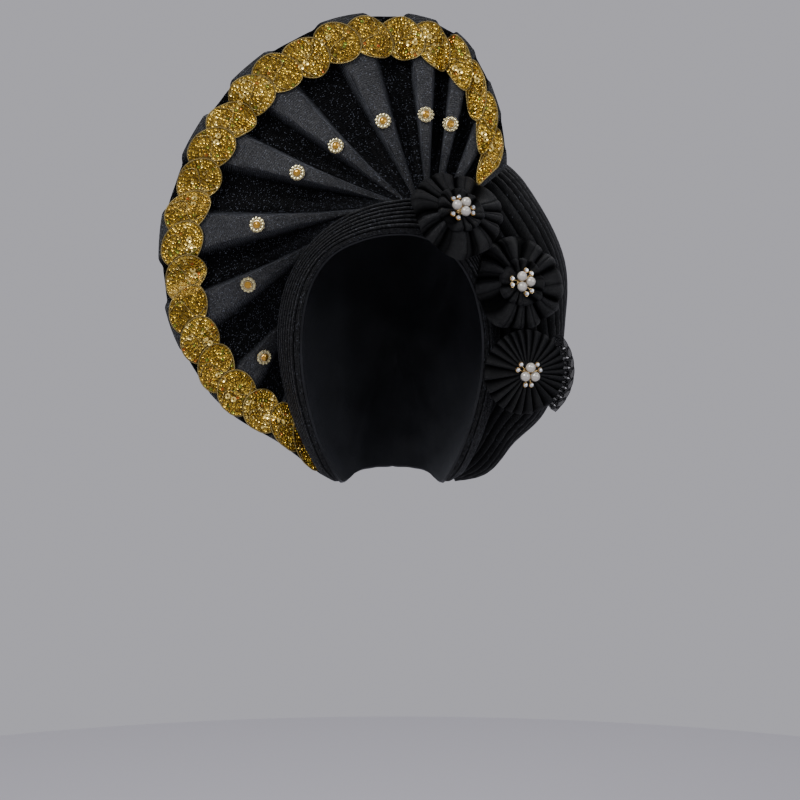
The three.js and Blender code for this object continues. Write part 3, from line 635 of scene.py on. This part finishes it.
seam = on_head(turn, inner, WALL + 0.05 + 0 * turn)
face_points = seam + (ring - seam) * (0.03 + 0.97 * taper)
faces = cells(*face_points.shape[:2])
# painted light: full on the ridge tops and 0 in the grooves, 0.45 on the turned edge and 0 on the
# underside, which paints shade there
lit = np.where(over < TURNED_EDGE, 0.45, ridge ** 3) + 0 * turn
lit = np.concatenate([lit, np.zeros((STATIONS, face_points.shape[1] - lit.shape[1]))], 1)
face_wrap = new_mesh("face_wrap_cloth", face_points.reshape(-1, 3), faces[:, ::-1],
                     grid_uv(face_points)[:, ::-1], 70, lit.ravel())
finish(face_wrap, wrap_cloth, "black_cloth", "face_wrap")
print("face wrap:", len(faces), "faces,", PLEATS, "pleats")

# %% [markdown]
# ## The fan
# The rest of the cloth's length is pleated broadly and spread into a tall fan. Its folds start
# tucked under the face wrap, leave it at its outer edge and run to the rim. Each fold has a flat
# crest with sharp sides and a deeper valley beside it, and the whole leaf is dished a little
# backwards, so that the rim curls to the front. Its painted light is full on the crests, fades
# towards the wrap, where less light falls in, and is 0 in the valleys, a painted shade there.

# %% Fan
ROOT_HEIGHT = WALL * 1.5 + LAYER_GAP * 1.4
FOLD_SAMPLES = 32


def crest_profile(fold, out):
    """1 on the flat crest of each fold, -1 in the valley, with a steep side between them."""
    off = np.abs(fold - np.round(fold))
    half = 0.07 + 0.15 * out
    return 1 - 2 * smooth((off - half) / 0.09) - 0.25 * smooth((off - 0.32) / 0.18)


def round_profile(fold, out):
    """A rounder wave that touches the crests and bridges the valleys."""
    off = np.abs(fold - np.round(fold))
    return 1 - 1.5 * smooth((off - 0.2) / 0.3) + 0 * out


def fan_line(fold):
    """The two ends of a fold's free part: where it leaves the face wrap, and the rim."""
    root = along(FOLDS, "root", fold)
    edge = along(WRAP_EDGE, "tilt", root)
    leave = on_head(root, edge + FAN_TUCK / 2, ROOT_HEIGHT + WALL + 0 * root)
    rim = direction(along(FOLDS, "turn", fold), along(FOLDS, "tilt", fold))
    rim = rim * (FAN_REACH * along(FOLDS, "reach", fold))[..., None] + np.array([0, 0, -CROWN_RISE])
    return root, edge, leave, rim


def fan_point(fold, out, profile=crest_profile, lift=0.0):
    """A point of the fan: on the straight line from the wrap's edge to the rim, moved back by the
    dish, a parabola that is deepest half-way, and forward by the fold's crest, by a little
    unevenness and by a lift."""
    fold, out = np.broadcast_arrays(np.asarray(fold, float), np.asarray(out, float))
    root, edge, leave, rim = fan_line(fold)
    length = np.linalg.norm(rim - leave, axis=-1)
    side = (rim - leave) / length[..., None]
    back = unit(np.array([0, 1, 0]) - side * side[..., 1:2])
    share = length / FAN_REACH
    free = np.clip(out, 0, 1)
    dish = FAN_DISH * share * 4 * free * (1 - free)
    rise = np.minimum(1, 0.05 + free / 0.4) * np.minimum(1, share * 1.6)
    full = 1 - 0.4 * np.clip((free - 0.5) * 2, 0, 1)
    slack = 0.45 * np.sin(7.3 * fold + 9 * free) * np.sin(13 * free + 2.1 * fold) * smooth(free * 3)
    push = dish - FAN_FOLD * rise * full * profile(fold, free) - slack - lift
    point = leave + (rim - leave) * free[..., None] + back * push[..., None]
    tuck = on_head(root, edge - FAN_TUCK, ROOT_HEIGHT + 0 * root)
    tucked = tuck + (leave - tuck) * (1 + out)[..., None]
    return np.where((out <= 0)[..., None], tucked, point)


fold = np.linspace(0, last_fold, last_fold * FOLD_SAMPLES + 1)[:, None]
out = np.concatenate([[-1], np.linspace(0, 1, 72)])[None, :]
fan_points = fan_point(fold, out)
# painted light: full on the fold crests, less towards the wrap, 0 in the valleys (painted shade)
crest = 1 - smooth((np.abs(fold - np.round(fold)) - 0.05 - 0.13 * out.clip(0, 1)) / 0.13)
lit = crest * (0.4 + 0.6 * smooth((out - 0.1) / 0.45))
fan = cloth("fan_cloth", fan_points, FAN_CLOTH, samples=FOLD_SAMPLES, tint_and_painted_light=lit)
finish(fan, fan_cloth, "black_cloth", "fan")
declare_sheet(fan, fan_points)

# %% [markdown]
# ## The sequinned trim
# The trim is a chain of slanted ovals, each laid a little over the one before. An oval is a thin
# disc of gold cloth with a cord sewn round its outline, a second one that crosses it in an S,
# and rows of small ring-shaped sequins. We lay the ovals out on a flat strip, with one length
# measured along the rim and one measured inwards from the hem, and then read each point off the
# fan. The trim is stiffer than the fan, so it follows the folds with a rounder wave.

# %% Strip along the rim
TRIM_WIDTH, TRIM_LIFT, TRIM_OUTER = 29, 1.5, 3.2
MOTIFS, OVAL_LONG, OVAL_WIDE, SLANT = 24, 17.2, 14.8, math.radians(-18)
TRIM_ENDS, TRIM_MIDDLE = (0.12, 10.78), 0.9
rim_fold = np.linspace(*TRIM_ENDS, 1600)
rim_line = fan_point(rim_fold, TRIM_MIDDLE, round_profile)
run = np.concatenate([[0], np.cumsum(np.linalg.norm(np.diff(rim_line, axis=0), axis=1))])
motif_pitch = (run[-1] - 1.5 * OVAL_LONG) / (MOTIFS - 1)


def trim_point(along_rim, inward, lift):
    """A point of the strip: (mm along the rim, mm in from the hem, mm in front of the fan). Where
    the fan is narrower than the strip, the rest of the strip is tucked under the face wrap, and
    towards the jaw the strip comes out to the rim."""
    fold = np.interp(along_rim, run, rim_fold)
    inward = inward - TRIM_OUTER * smooth((fold - 7.5) / 1.5)
    _, _, leave, rim = fan_line(fold)
    length = np.linalg.norm(rim - leave, axis=-1)
    return fan_point(fold, np.maximum(1 - inward / length, -0.6), round_profile, lift)


def oval_place(k, x, y):
    """Where a point (x, y) of oval k lies on the strip: turned by the slant, then moved along."""
    middle = 0.75 * OVAL_LONG + k * motif_pitch
    u = x * math.cos(SLANT) - y * math.sin(SLANT)
    v = x * math.sin(SLANT) + y * math.cos(SLANT)
    return middle + u, FAN_HEM + TRIM_WIDTH / 2 + v, u


def over_last(u):
    """How far an oval stands off the fan: level under the next one, raised over the last one."""
    return TRIM_LIFT + 1.1 * smooth(0.5 - u / (1.5 * OVAL_LONG))


print(f"rim {run[-1]:.0f} mm, an oval every {motif_pitch:.1f} mm")

# %% Gold ovals and their cords
EDGE_CORD, CROSS_CORD = 0.48, 0.36
angle = np.linspace(0, 2 * np.pi, 65)
disc_parts, cord_parts = [], []
for k in range(MOTIFS):
    share = np.linspace(0, 1, 9)[None, :]
    x, y = OVAL_LONG * share * np.cos(angle)[:, None], OVAL_WIDE * share * np.sin(angle)[:, None]
    s, inward, u = oval_place(k, x, y)
    disc = trim_point(s, inward, over_last(u) + 0.4 * (1 - share**2))
    disc_parts.append(shell_parts(disc, OVAL_CLOTH, closed=True))
    s, inward, u = oval_place(k, OVAL_LONG * np.cos(angle), OVAL_WIDE * np.sin(angle))
    cord_parts.append(tube(trim_point(s, inward, over_last(u) + 0.35), EDGE_CORD, 6, closed=True))
    t = np.linspace(-1, 1, 41)
    s, inward, u = oval_place(k, 0.34 * OVAL_LONG * np.sin(math.pi * t), 0.93 * OVAL_WIDE * t)
    cord_parts.append(tube(trim_point(s, inward, over_last(u) + 0.9), CROSS_CORD, 6))
trim_base = new_mesh("trim_ovals", *together(disc_parts), sharp=60)
finish(trim_base, gold_cloth("gold lace"), "gold_sequins", "fan_trim")
trim_cord = new_mesh("trim_cords", *together(cord_parts), sharp=60)
finish(trim_cord, pale_gold_thread, "gold_sequins")
print(MOTIFS, "ovals, each with two cords")

# %% [markdown]
# The sequins are rings with a hole, 2.3 mm across and slightly cupped, sewn in rows round each
# oval. None lies exactly flat: each is tipped at random by up to about 20 degrees, so that a few
# of them catch the lamp while their neighbours stay dark. Most ovals also have a pair of larger
# ones, and each oval's sequins are shifted together a little paler or browner than the next.

# %% Sequins
SMALL, LARGE, SEQUIN_PITCH = 1.15, 2.3, 2.45
picks = np.random.default_rng(7)
girth = 2 * np.pi * math.sqrt((OVAL_LONG**2 + OVAL_WIDE**2) / 2)
rows = [(reach, int(girth * reach / SEQUIN_PITCH)) for reach in (0.9, 0.76, 0.62, 0.48, 0.34, 0.2, 0.06)]
around = [np.linspace(0, 2 * np.pi, count, endpoint=False) + reach * 9 for reach, count in rows]
around = np.concatenate(around)
reach = np.concatenate([np.full(count, reach) for reach, count in rows])
motif, around = np.meshgrid(np.arange(MOTIFS), around, indexing="ij")
reach = np.broadcast_to(reach, motif.shape)
x, y = OVAL_LONG * reach * np.cos(around), OVAL_WIDE * reach * np.sin(around)
s, inward, u = oval_place(motif, x, y)
from_next, from_middle = u - motif_pitch, inward - FAN_HEM - TRIM_WIDTH / 2
next_x = from_next * math.cos(SLANT) + from_middle * math.sin(SLANT)
next_y = -from_next * math.sin(SLANT) + from_middle * math.cos(SLANT)
hidden = ((next_x / (OVAL_LONG + 1))**2 + (next_y / (OVAL_WIDE + 1))**2 < 1) & (motif < MOTIFS - 1)
seen = ~hidden & (s > 1) & (s < run[-1] - 1)
s, inward, lift = s[seen], inward[seen], over_last(u[seen]) + 0.35 + 0.4 * (1 - reach[seen]**2)


def front_normal(right, up):
    """The unit normal of two directions in the fan's cloth that looks to the front."""
    normal = np.cross(right, up)
    return unit(normal * np.where(normal[:, 1:2] > 0, -1, 1))


def sewn(s, inward, lift, size, lean):
    """Sequins on the strip, each facing along the cloth's normal, tipped at random by lean."""
    place = trim_point(s, inward, lift)
    right = unit(trim_point(s + 0.5, inward, lift) - place)
    facing = front_normal(right, trim_point(s, inward + 0.5, lift) - place)
    tip = picks.normal(0, lean, (len(s), 2))
    facing = facing + right * tip[:, :1] + np.cross(facing, right) * tip[:, 1:]
    return placed(ring_shape(size), place, facing, right)


small = sewn(s, inward, lift, SMALL, 0.2)
pair = np.repeat(np.arange(MOTIFS)[picks.random(MOTIFS) < 0.85], 2)
around = picks.uniform(0, 2 * np.pi, MOTIFS)[pair]
side = np.where(np.arange(len(pair)) % 2, 2.2, -2.2)
big_s, big_inward, u = oval_place(pair, 8 * np.cos(around) + side, 6 * np.sin(around) + side * 0.6)
large = sewn(big_s, big_inward, over_last(u) + 1.5, LARGE, 0.1)
foil_tint = picks.random(len(s))
# each oval's sequins are shifted together a little paler or browner
motif_shift = picks.uniform(-0.25, 0.2, MOTIFS)[motif[seen]]
# numbers below FEW_ODD are kept: these are the painted red and green glints
foil_tint = np.where(foil_tint < FEW_ODD, foil_tint, np.clip(foil_tint + motif_shift, FEW_ODD, 1))
tints_and_painted_light = np.concatenate([np.repeat(foil_tint, len(small[0]) // len(s)), np.ones(len(large[0]))])
sequins = new_mesh("sequins", *together([small, large]), sharp=30, tint_and_painted_light=tints_and_painted_light)
finish(sequins, sequin_gold, "gold_sequins")
print(len(s), "small sequins and", len(pair), "large ones")

# %% [markdown]
# ## The puffed wrap at the side
# The other end of the cloth swells out over the side of the head in a pouch and closes in again
# behind it. Its pleats run along the pouch, from the brow to the nape, and lie over one another
# like shingles: each rises gently and drops sharply to the next.

# %% Side wrap
SIDE_PLEATS, SIDE_DEPTH, PER_PLEAT = 36, 2.3, 10
turn = np.linspace(10, 160, 151)[:, None]
across = np.linspace(0, 1, SIDE_PLEATS * PER_PLEAT + 1)[None, :]
share = across ** 1.15
first = along(WRAP_EDGE, "tilt", turn) + along(SIDE, "past", turn)
tilt = first + (along(SIDE, "end", turn) - first) * share
bulge = SIDE_STAND_OFF * along(SIDE, "bulge", turn)
full = np.clip(along(FULLNESS, "full", share), 0, 1) ** along(SIDE, "hollow", turn)
pleat = across * SIDE_PLEATS + 0.35 * np.sin(np.radians(turn) * 5 + across * 9)
step = pleat - np.floor(pleat)
shingle = np.where(step < 0.8, (step / 0.8) ** 0.7, (1 - step) / 0.2)
pull = 1 + 0.35 * np.sin(np.radians(turn) * 9 + across * 21)
relief = SIDE_DEPTH * pull * (shingle - 0.5) * np.minimum(1, bulge * full / 12)
side_points = on_head(turn + 0 * across, tilt, WRAP_FLOOR + 0.9 + bulge * full + relief)
# painted light: full at the top of each shingle's slow rise and 0 at the foot of its drop, a painted shade
# there
side_wrap = cloth("side_wrap_cloth", side_points, SIDE_CLOTH, sharp=80, tint_and_painted_light=shingle**2 + 0 * turn)
finish(side_wrap, side_cloth, "black_cloth", "side_wrap")
declare_sheet(side_wrap, side_points)

# %% [markdown]
# ## The rosettes
# The two upper rosettes are rounds of satin gathered at the middle: uneven folds with narrow
# creases between them, whose rims roll back, and a smaller gathered round on top. The lowest is a
# strip of cloth laid in knife pleats and drawn up into a disc. Each has its own plane, on which
# heights are measured, and a short gathered stem behind it.

# %% Where the rosettes sit
ROSETTE_RADIUS, ROSETTE_DOME, PLEATED_SIZE, STEM_RADIUS = 31, 4, 0.96, 7
ROSETTES = {
    "top": ((38, 41.5, 21), (0.3, -0.87, 0.38), -10),
    "middle": ((82.2, 55.5, 29), (0.3, -0.95, 0.05), 60),
    "bottom": ((118, 60.25, 37), (0.28, -0.95, -0.12), 30)}


def rosette_frame(name):
    """The middle of a rosette's plane, and its right, up and facing directions as rows."""
    (turn, tilt, height), face, _ = ROSETTES[name]
    facing = unit(np.array(face))
    right = unit(np.cross([0, 0, 1], facing))
    return on_head(turn, tilt, height), np.stack([right, np.cross(facing, right), facing])


def rosette_place(name, points):
    """Carries points from a rosette's own plane to its place on the head."""
    middle, basis = rosette_frame(name)
    return np.asarray(points) @ basis + middle


def gathered(folds, radius, depth, twist, low):
    """A gathered round: radial folds, |cos phase|^0.6, broad with narrow creases, each with a
    smaller fold beside it. The phase is the angle times half the number of folds, pulled to and
    fro round the flower and further out, so that no two folds are alike. The rim rolls back, and
    its outline and height wander. Returns the points on the rosette's plane and a painted light
    for each point: full on the puffs and 0 down in the creases, a painted shade there."""
    angle = np.linspace(0, 2 * np.pi, 361)[:, None]
    out = np.linspace(0.001, 1, 40)[None, :]
    drift = 0.9 * np.sin(2 * angle + twist) + 0.6 * np.sin(3 * angle + 2.1 * twist)
    drift = drift + 0.35 * np.sin(5 * angle + twist)
    phase = folds / 2 * angle + drift + 0.5 * np.sin(3 * out + 2 * angle + twist) * out
    puff = np.abs(np.cos(phase)) ** 0.6
    beside = np.abs(np.cos(2 * phase + 0.8 + 0.7 * np.sin(angle + twist))) ** 0.5
    opening = smooth((out - 0.1) / 0.5)
    uneven_depth = depth * (1 + 0.3 * np.sin(angle * 2 + 1 + twist))
    height = low + uneven_depth * (puff - 0.5) * opening + 0.3 * uneven_depth * (beside - 0.6) * opening
    height = height + 0.35 * np.cos(folds * 2 * angle) * (1 - out) * smooth(out * 6)
    height = height + 0.5 * np.sin(7 * out + 3 * angle + twist) * np.sin(4 * angle + 5 * out) * opening
    roll = np.clip((out - 0.84) / 0.16, 0, 1)
    outline = 0.04 * np.sin(3 * angle + twist) + 0.025 * np.sin(7 * angle + 2 * twist) + 0.05 * (puff - 0.7)
    reach = radius * (out - 0.03 * roll**2) * (1 + outline * out)
    return polar(reach, angle, height - 3 * roll**2), smooth((puff * (0.55 + 0.45 * beside) - 0.35) / 0.6)


def stem_points(name):
    """The gathered stem: a tube with sixteen soft folds and a rounded end. It reaches as far
    behind the rosette's plane as the plain solid does, which is where the cloth behind is."""
    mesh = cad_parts[f"rosette_{name}"].data
    solid = np.empty(len(mesh.vertices) * 3, np.float32)
    mesh.vertices.foreach_get("co", solid)
    middle, basis = rosette_frame(name)
    length = -((solid.reshape(-1, 3) / MM - middle) @ basis[2]).min() - 0.5
    angle = np.linspace(0, 2 * np.pi, 129)[:, None]
    down = np.linspace(0, 1, 14)[None, :]
    rounding = np.sqrt(np.clip(1 - ((down - 0.75) / 0.25).clip(0, 1)**2, 1e-6, 1))
    return polar((STEM_RADIUS - 0.5 * np.cos(16 * angle)) * rounding, angle, -0.5 - length * down)


print("rosettes:", ", ".join(ROSETTES))

# %% [markdown]
# Each flower is one piece: its layers and its stem, each closed for itself. The upper two have two
# layers, a wide one that sinks to its rim and a small one that rises to it.

# %% Two gathered rosettes


def rosette_cloth_piece(name, layers, tints_and_painted_light):
    """One cloth flower from its layers and stem, with a painted light for each point of both faces."""
    parts = [shell_parts(layer, ROSETTE_CLOTH, closed=True) for layer in layers]
    tint_and_painted_light = np.concatenate([np.tile(one.ravel(), 2) for one in tints_and_painted_light])
    rosette = new_mesh(f"rosette_{name}_cloth", *together(parts), sharp=75, tint_and_painted_light=tint_and_painted_light)
    finish(rosette, rosette_cloth, "black_cloth", f"rosette_{name}")
    declare_sheet(rosette, layers)


UPPER_RADIUS, UPPER_HEIGHT = 17, 3.7
for name, twist in (("top", 0.4), ("middle", 2.1)):
    lower, lower_painted_light = gathered(11, ROSETTE_RADIUS * 1.08, 4.4, twist, 0)
    lower[..., 2] += 3 * (1 - (lower[..., :2] ** 2).sum(-1) / ROSETTE_RADIUS**2)
    upper, upper_painted_light = gathered(9, UPPER_RADIUS, 2.4, twist + 1.3, UPPER_HEIGHT)
    upper[..., 2] += 2.4 * smooth((np.hypot(upper[..., 0], upper[..., 1]) - 8) / 9)
    stem = stem_points(name)
    # the stems get a painted light of 0: painted shade behind the flowers
    rosette_cloth_piece(name, [rosette_place(name, layer) for layer in (lower, upper, stem)],
                        [lower_painted_light, upper_painted_light, np.zeros(stem.shape[:2])])

# %% [markdown]
# The knife pleats of the lowest rosette are a saw-tooth round the disc: height = 4 (1 - out^2)
# plus the tooth, which rises slowly and falls back in the last seventh of each pleat. A few pleats
# are drawn wider than the rest, as they are when the strip is pulled up by hand.

# %% Pleated rosette
KNIFE_PLEATS, KNIFE_DEPTH, KNIFE_RISE = 26, 3.4, 0.86
angle = np.linspace(0, 2 * np.pi, KNIFE_PLEATS * 12 + 1)[:, None]
out = np.concatenate([[0.001], np.linspace(0.04, 1, 26)])[None, :]
count = KNIFE_PLEATS * angle / (2 * np.pi) + 0.8 * np.sin(angle - 0.6) + 0.3 * np.sin(3 * angle)
tooth = count - np.floor(count)
tooth = np.where(tooth < KNIFE_RISE, (tooth / KNIFE_RISE) ** 0.8, (1 - tooth) / (1 - KNIFE_RISE))
reach = ROSETTE_RADIUS * PLEATED_SIZE * out * (1 + 0.02 * (tooth - 0.5) * out)
height = ROSETTE_DOME * (1 - out**2) + KNIFE_DEPTH * (tooth - 0.5) * out**0.8
disc = polar(reach, angle, height - 1.6 * np.clip((out - 0.88) / 0.12, 0, 1)**2)
stem = stem_points("bottom")
# painted light: full at the top of each knife pleat's rise and 0 at its foot, a painted shade there; the
# stem gets 0
rosette_cloth_piece("bottom", [rosette_place("bottom", layer) for layer in (disc, stem)],
                    [smooth(tooth * 1.2 - 0.2) + 0 * out, np.zeros(stem.shape[:2])])

# %% [markdown]
# ## The net ruffle
# Behind the lowest rosette a gathered band of net shows at one side. Net is stiff, so its edge
# stands in open loops. It wanders sideways twice as often as in and out, which makes each loop
# hang over its neck: the reach goes with cos(phase) and the turn round the rosette with
# sin(2 phase), both ample at the edge and nothing at the stem. A thin cord is sewn to the edge.

# %% Net ruffle
LOOPS = 8
share = np.linspace(0, 1, LOOPS * 30 + 1)[:, None]
out = np.linspace(0, 1, 20)[None, :]
phase = 2 * np.pi * LOOPS * share
ample = 2.5 * out**2
reach = 7.4 + 27 * smooth(out / 0.8) + ample * np.cos(phase)
turned = np.radians(-50 + 98 * share) + 1.7 * ample * np.sin(2 * phase) / np.maximum(reach, 20)
height = -6 + 7 * smooth((out - 0.55) / 0.45) + 1.2 * out * np.sin(phase)
net_points = rosette_place("bottom", polar(reach, turned, height))
net = cloth("net_ruffle_cloth", net_points, NET_CLOTH)
finish(net, sheer_net, "black_net", "net_ruffle")
declare_sheet(net, net_points)
net_edge = new_mesh("net_edge_cord", *tube(net_points[:, -1], 0.2, 6), sharp=60)
finish(net_edge, hood_cloth, "black_net")

# %% [markdown]
# ## Brooches and studs
# A brooch is a small plate with six wires round it. Each wire ends in a cup with four claws that
# hold a cut stone, and three pearls sit on the plate. A stud is a cup with an amber stone and
# twelve small pale stones round it, sewn on the crest of a fold. Round shapes are turned: a profile
# of (radius, height) pairs is carried round an axis.

# %% Shapes of the brooches
SEAT, ROSETTE_WALL = 0.35, 1.5
PLATE_TOP, PEARL_RADIUS, WIRE_REACH, CUP_TOP, CLAW_REACH, PAIR_SPREAD = 1, 3.5, 8.6, 1.8, 1.5, 15
CUT = [(0, -0.45), (0.5, 0), (0.34, 0.36), (0, 0.42)]


def cut_stone(width, depth):
    """A cut stone of eight sides, with a pointed back and a small flat on top."""
    return turned_shape([(width * r, depth * h) for r, h in CUT], 8)


plate = turned_shape([(0, 0), (4.2, 0), (4.5, 0.3), (4.3, 0.8), (3.6, PLATE_TOP), (0, PLATE_TOP)], 24)
cup = turned_shape([(0, 0), (0.8, 0.1), (1.25, 0.9), (1.75, 1.5), (1.8, CUP_TOP), (1.55, CUP_TOP),
                    (1.1, 1.3), (0, 1.2)], 16)
claw = turned_shape([(0, -0.3), (0.3, -0.1), (0.34, 0.25), (0.2, 0.55), (0, 0.62)], 6)
latitudes = np.linspace(0, math.pi, 21)
ball = turned_shape([(PEARL_RADIUS * math.sin(a), -PEARL_RADIUS * math.cos(a)) for a in latitudes], 40)
print("a claw has", len(claw[1]), "faces, a pearl", len(ball[1]))

# %% Brooches


def brooch_piece(name, label, parts, sharp, paint, slot, nodes):
    """Stands parts a little above the middle of the plain rosette, which is domed and has a wall,
    carries them to its place on the head and finishes them as one piece."""
    points, faces, _ = together(parts)
    points = rosette_place(name, points + [0, 0, ROSETTE_WALL / 2 + ROSETTE_DOME + SEAT])
    finish(new_mesh(f"brooch_{name}_{label}", points, faces, sharp=sharp), paint, slot, *nodes)


for name, (_, _, roll) in ROSETTES.items():
    corners = np.radians([roll + k * 120 + side * PAIR_SPREAD for k in range(3) for side in (-1, 1)])
    ends = polar(WIRE_REACH, corners, 0)
    claw_turn = np.add.outer(corners, np.radians([45, 135, 225, 315])).ravel()
    claws = placed(claw, np.repeat(ends, 4, 0) + polar(CLAW_REACH, claw_turn, CUP_TOP))
    wires = [tube(np.linspace([0, 0, 0.55], end + [0, 0, 0.9], 5), 0.45, 8) for end in ends]
    brooch_piece(name, "metal", [plate, placed(cup, ends), claws] + wires, 40, gold_metal, "gold_metal",
                 [f"brooch_frame_{name}"])
    thirds = np.radians([roll + 60, roll + 180, roll + 300])
    seats = polar((2 * PEARL_RADIUS + SEAT) / math.sqrt(3), thirds, PLATE_TOP + SEAT + PEARL_RADIUS)
    brooch_piece(name, "pearls", [placed(ball, seats)], 60, pearl_white, "pearl_white",
                 [f"pearl_{name}_{k}" for k in (1, 2, 3)])
    stones = placed(cut_stone(3.0, 2.0), ends + [0, 0, 1.6 + SEAT + 0.81])
    brooch_piece(name, "stones", [stones], 5, clear_stone, "clear_stone",
                 [f"stone_{name}_{k}" for k in range(1, 7)])
print("brooches on", ", ".join(ROSETTES))

# %% Studs
STUDS = table("fold out", [
    (2, 0.484), (3, 0.468), (4.03, 0.428), (5.05, 0.413), (6.06, 0.46), (7, 0.5), (8, 0.438), (9, 0.348)])
STUD_STONES, STONE_RING = 12, 4.55
fold, out = STUDS["fold"], STUDS["out"]
right = fan_point(fold + 0.02, out) - fan_point(fold - 0.02, out)
up = unit(fan_point(fold, out + 0.01) - fan_point(fold, out - 0.01))
facing = front_normal(right, up)
seat = fan_point(fold, out) + facing * 0.9
setting = turned_shape([(0, 0), (5.0, 0), (5.4, 0.4), (5.2, 1.0), (3.4, 1.1), (3.1, 2.2), (2.75, 2.3),
                        (2.6, 1.3), (0, 1.2)], 36)
cup_ring = polar(STONE_RING, np.arange(STUD_STONES) * 2 * math.pi / STUD_STONES, 0.5)
small_cup = turned_shape([(0, 0), (1.0, 0), (1.22, 1.2), (1.0, 1.3), (0.9, 0.9), (0, 0.9)], 12)
small_cups = placed(small_cup, cup_ring)
small_stones = placed(cut_stone(2.16, 1.9), cup_ring + [0, 0, 1.35])
amber = turned_shape([(0, 1.0), (2.95, 1.9), (2.4, 2.8), (1.2, 3.4), (0, 3.6)], 9)
names = [f"stud_{k}" for k in range(1, len(fold) + 1)]
stone_names = [name.replace("stud", "stud_stone") for name in names]
for label, parts, paint, slot, nodes, sharp in (
        ("studs_metal", [setting, small_cups], silver_metal, "silver_metal", names, 40),
        ("studs_clear", [small_stones], warm_stone, "clear_stone", [], 5),
        ("studs_amber", [amber], amber_stone, "amber_stone", stone_names, 5)):
    piece = new_mesh(label, *placed(together(parts), seat, facing, up), sharp=sharp)
    finish(piece, paint, slot, *nodes)
print(len(fold), "studs")

# %% [markdown]
# ## Floor and light
# A plain pale floor well below the tie, an even pale surround, three large soft lamps, and a
# small one near the camera, which puts the sharp highlights on the pearls and stones.

# %% Floor, surround and lamps
FLOOR, FLOOR_RADIUS, FLOOR_SIDES = -0.75, 1.6, 96
floor_mesh = bpy.data.meshes.new("floor")
floor_turn = np.arange(FLOOR_SIDES) * 2 * np.pi / FLOOR_SIDES
floor_mesh.from_pydata(polar(FLOOR_RADIUS, floor_turn, FLOOR).tolist(), [], [list(range(FLOOR_SIDES))])
floor = bpy.data.objects.new("floor", floor_mesh)
bpy.context.collection.objects.link(floor)
floor_paint, _, _ = new_material("pale floor", Base_Color=(0.55, 0.54, 0.58, 1), Roughness=0.85)
floor_mesh.materials.append(floor_paint)

world = bpy.data.worlds.new("surround")
world.use_nodes = True
world.node_tree.nodes["Background"].inputs["Color"].default_value = (0.80, 0.79, 0.86, 1)
world.node_tree.nodes["Background"].inputs["Strength"].default_value = 0.55
bpy.context.scene.world = world


def soft_lamp(name, place, aim, size, power, colour=(1, 1, 1)):
    """A square lamp of a given size in metres at a place, turned towards the point aimed at."""
    lamp = bpy.data.objects.new(name, bpy.data.lights.new(name, "AREA"))
    lamp.data.size, lamp.data.energy, lamp.data.color = size, power, colour
    lamp.location = place
    lamp.rotation_euler = (Vector(aim) - Vector(place)).to_track_quat("-Z", "Y").to_euler()
    bpy.context.collection.objects.link(lamp)


soft_lamp("key", (-0.9, -1.3, 1.1), (0, 0, -0.05), 0.9, 26)
soft_lamp("fill", (1.3, -1.1, 0.4), (0, 0, -0.1), 1.2, 9, (0.93, 0.95, 1))
soft_lamp("top", (0.2, 0.5, 1.5), (0, 0, 0), 1.0, 12)
soft_lamp("spark", (0.22, -1.3, 0.2), (0, 0, -0.05), 0.09, 1.2)
print("floor at", FLOOR, "m, three soft lamps and a small one")
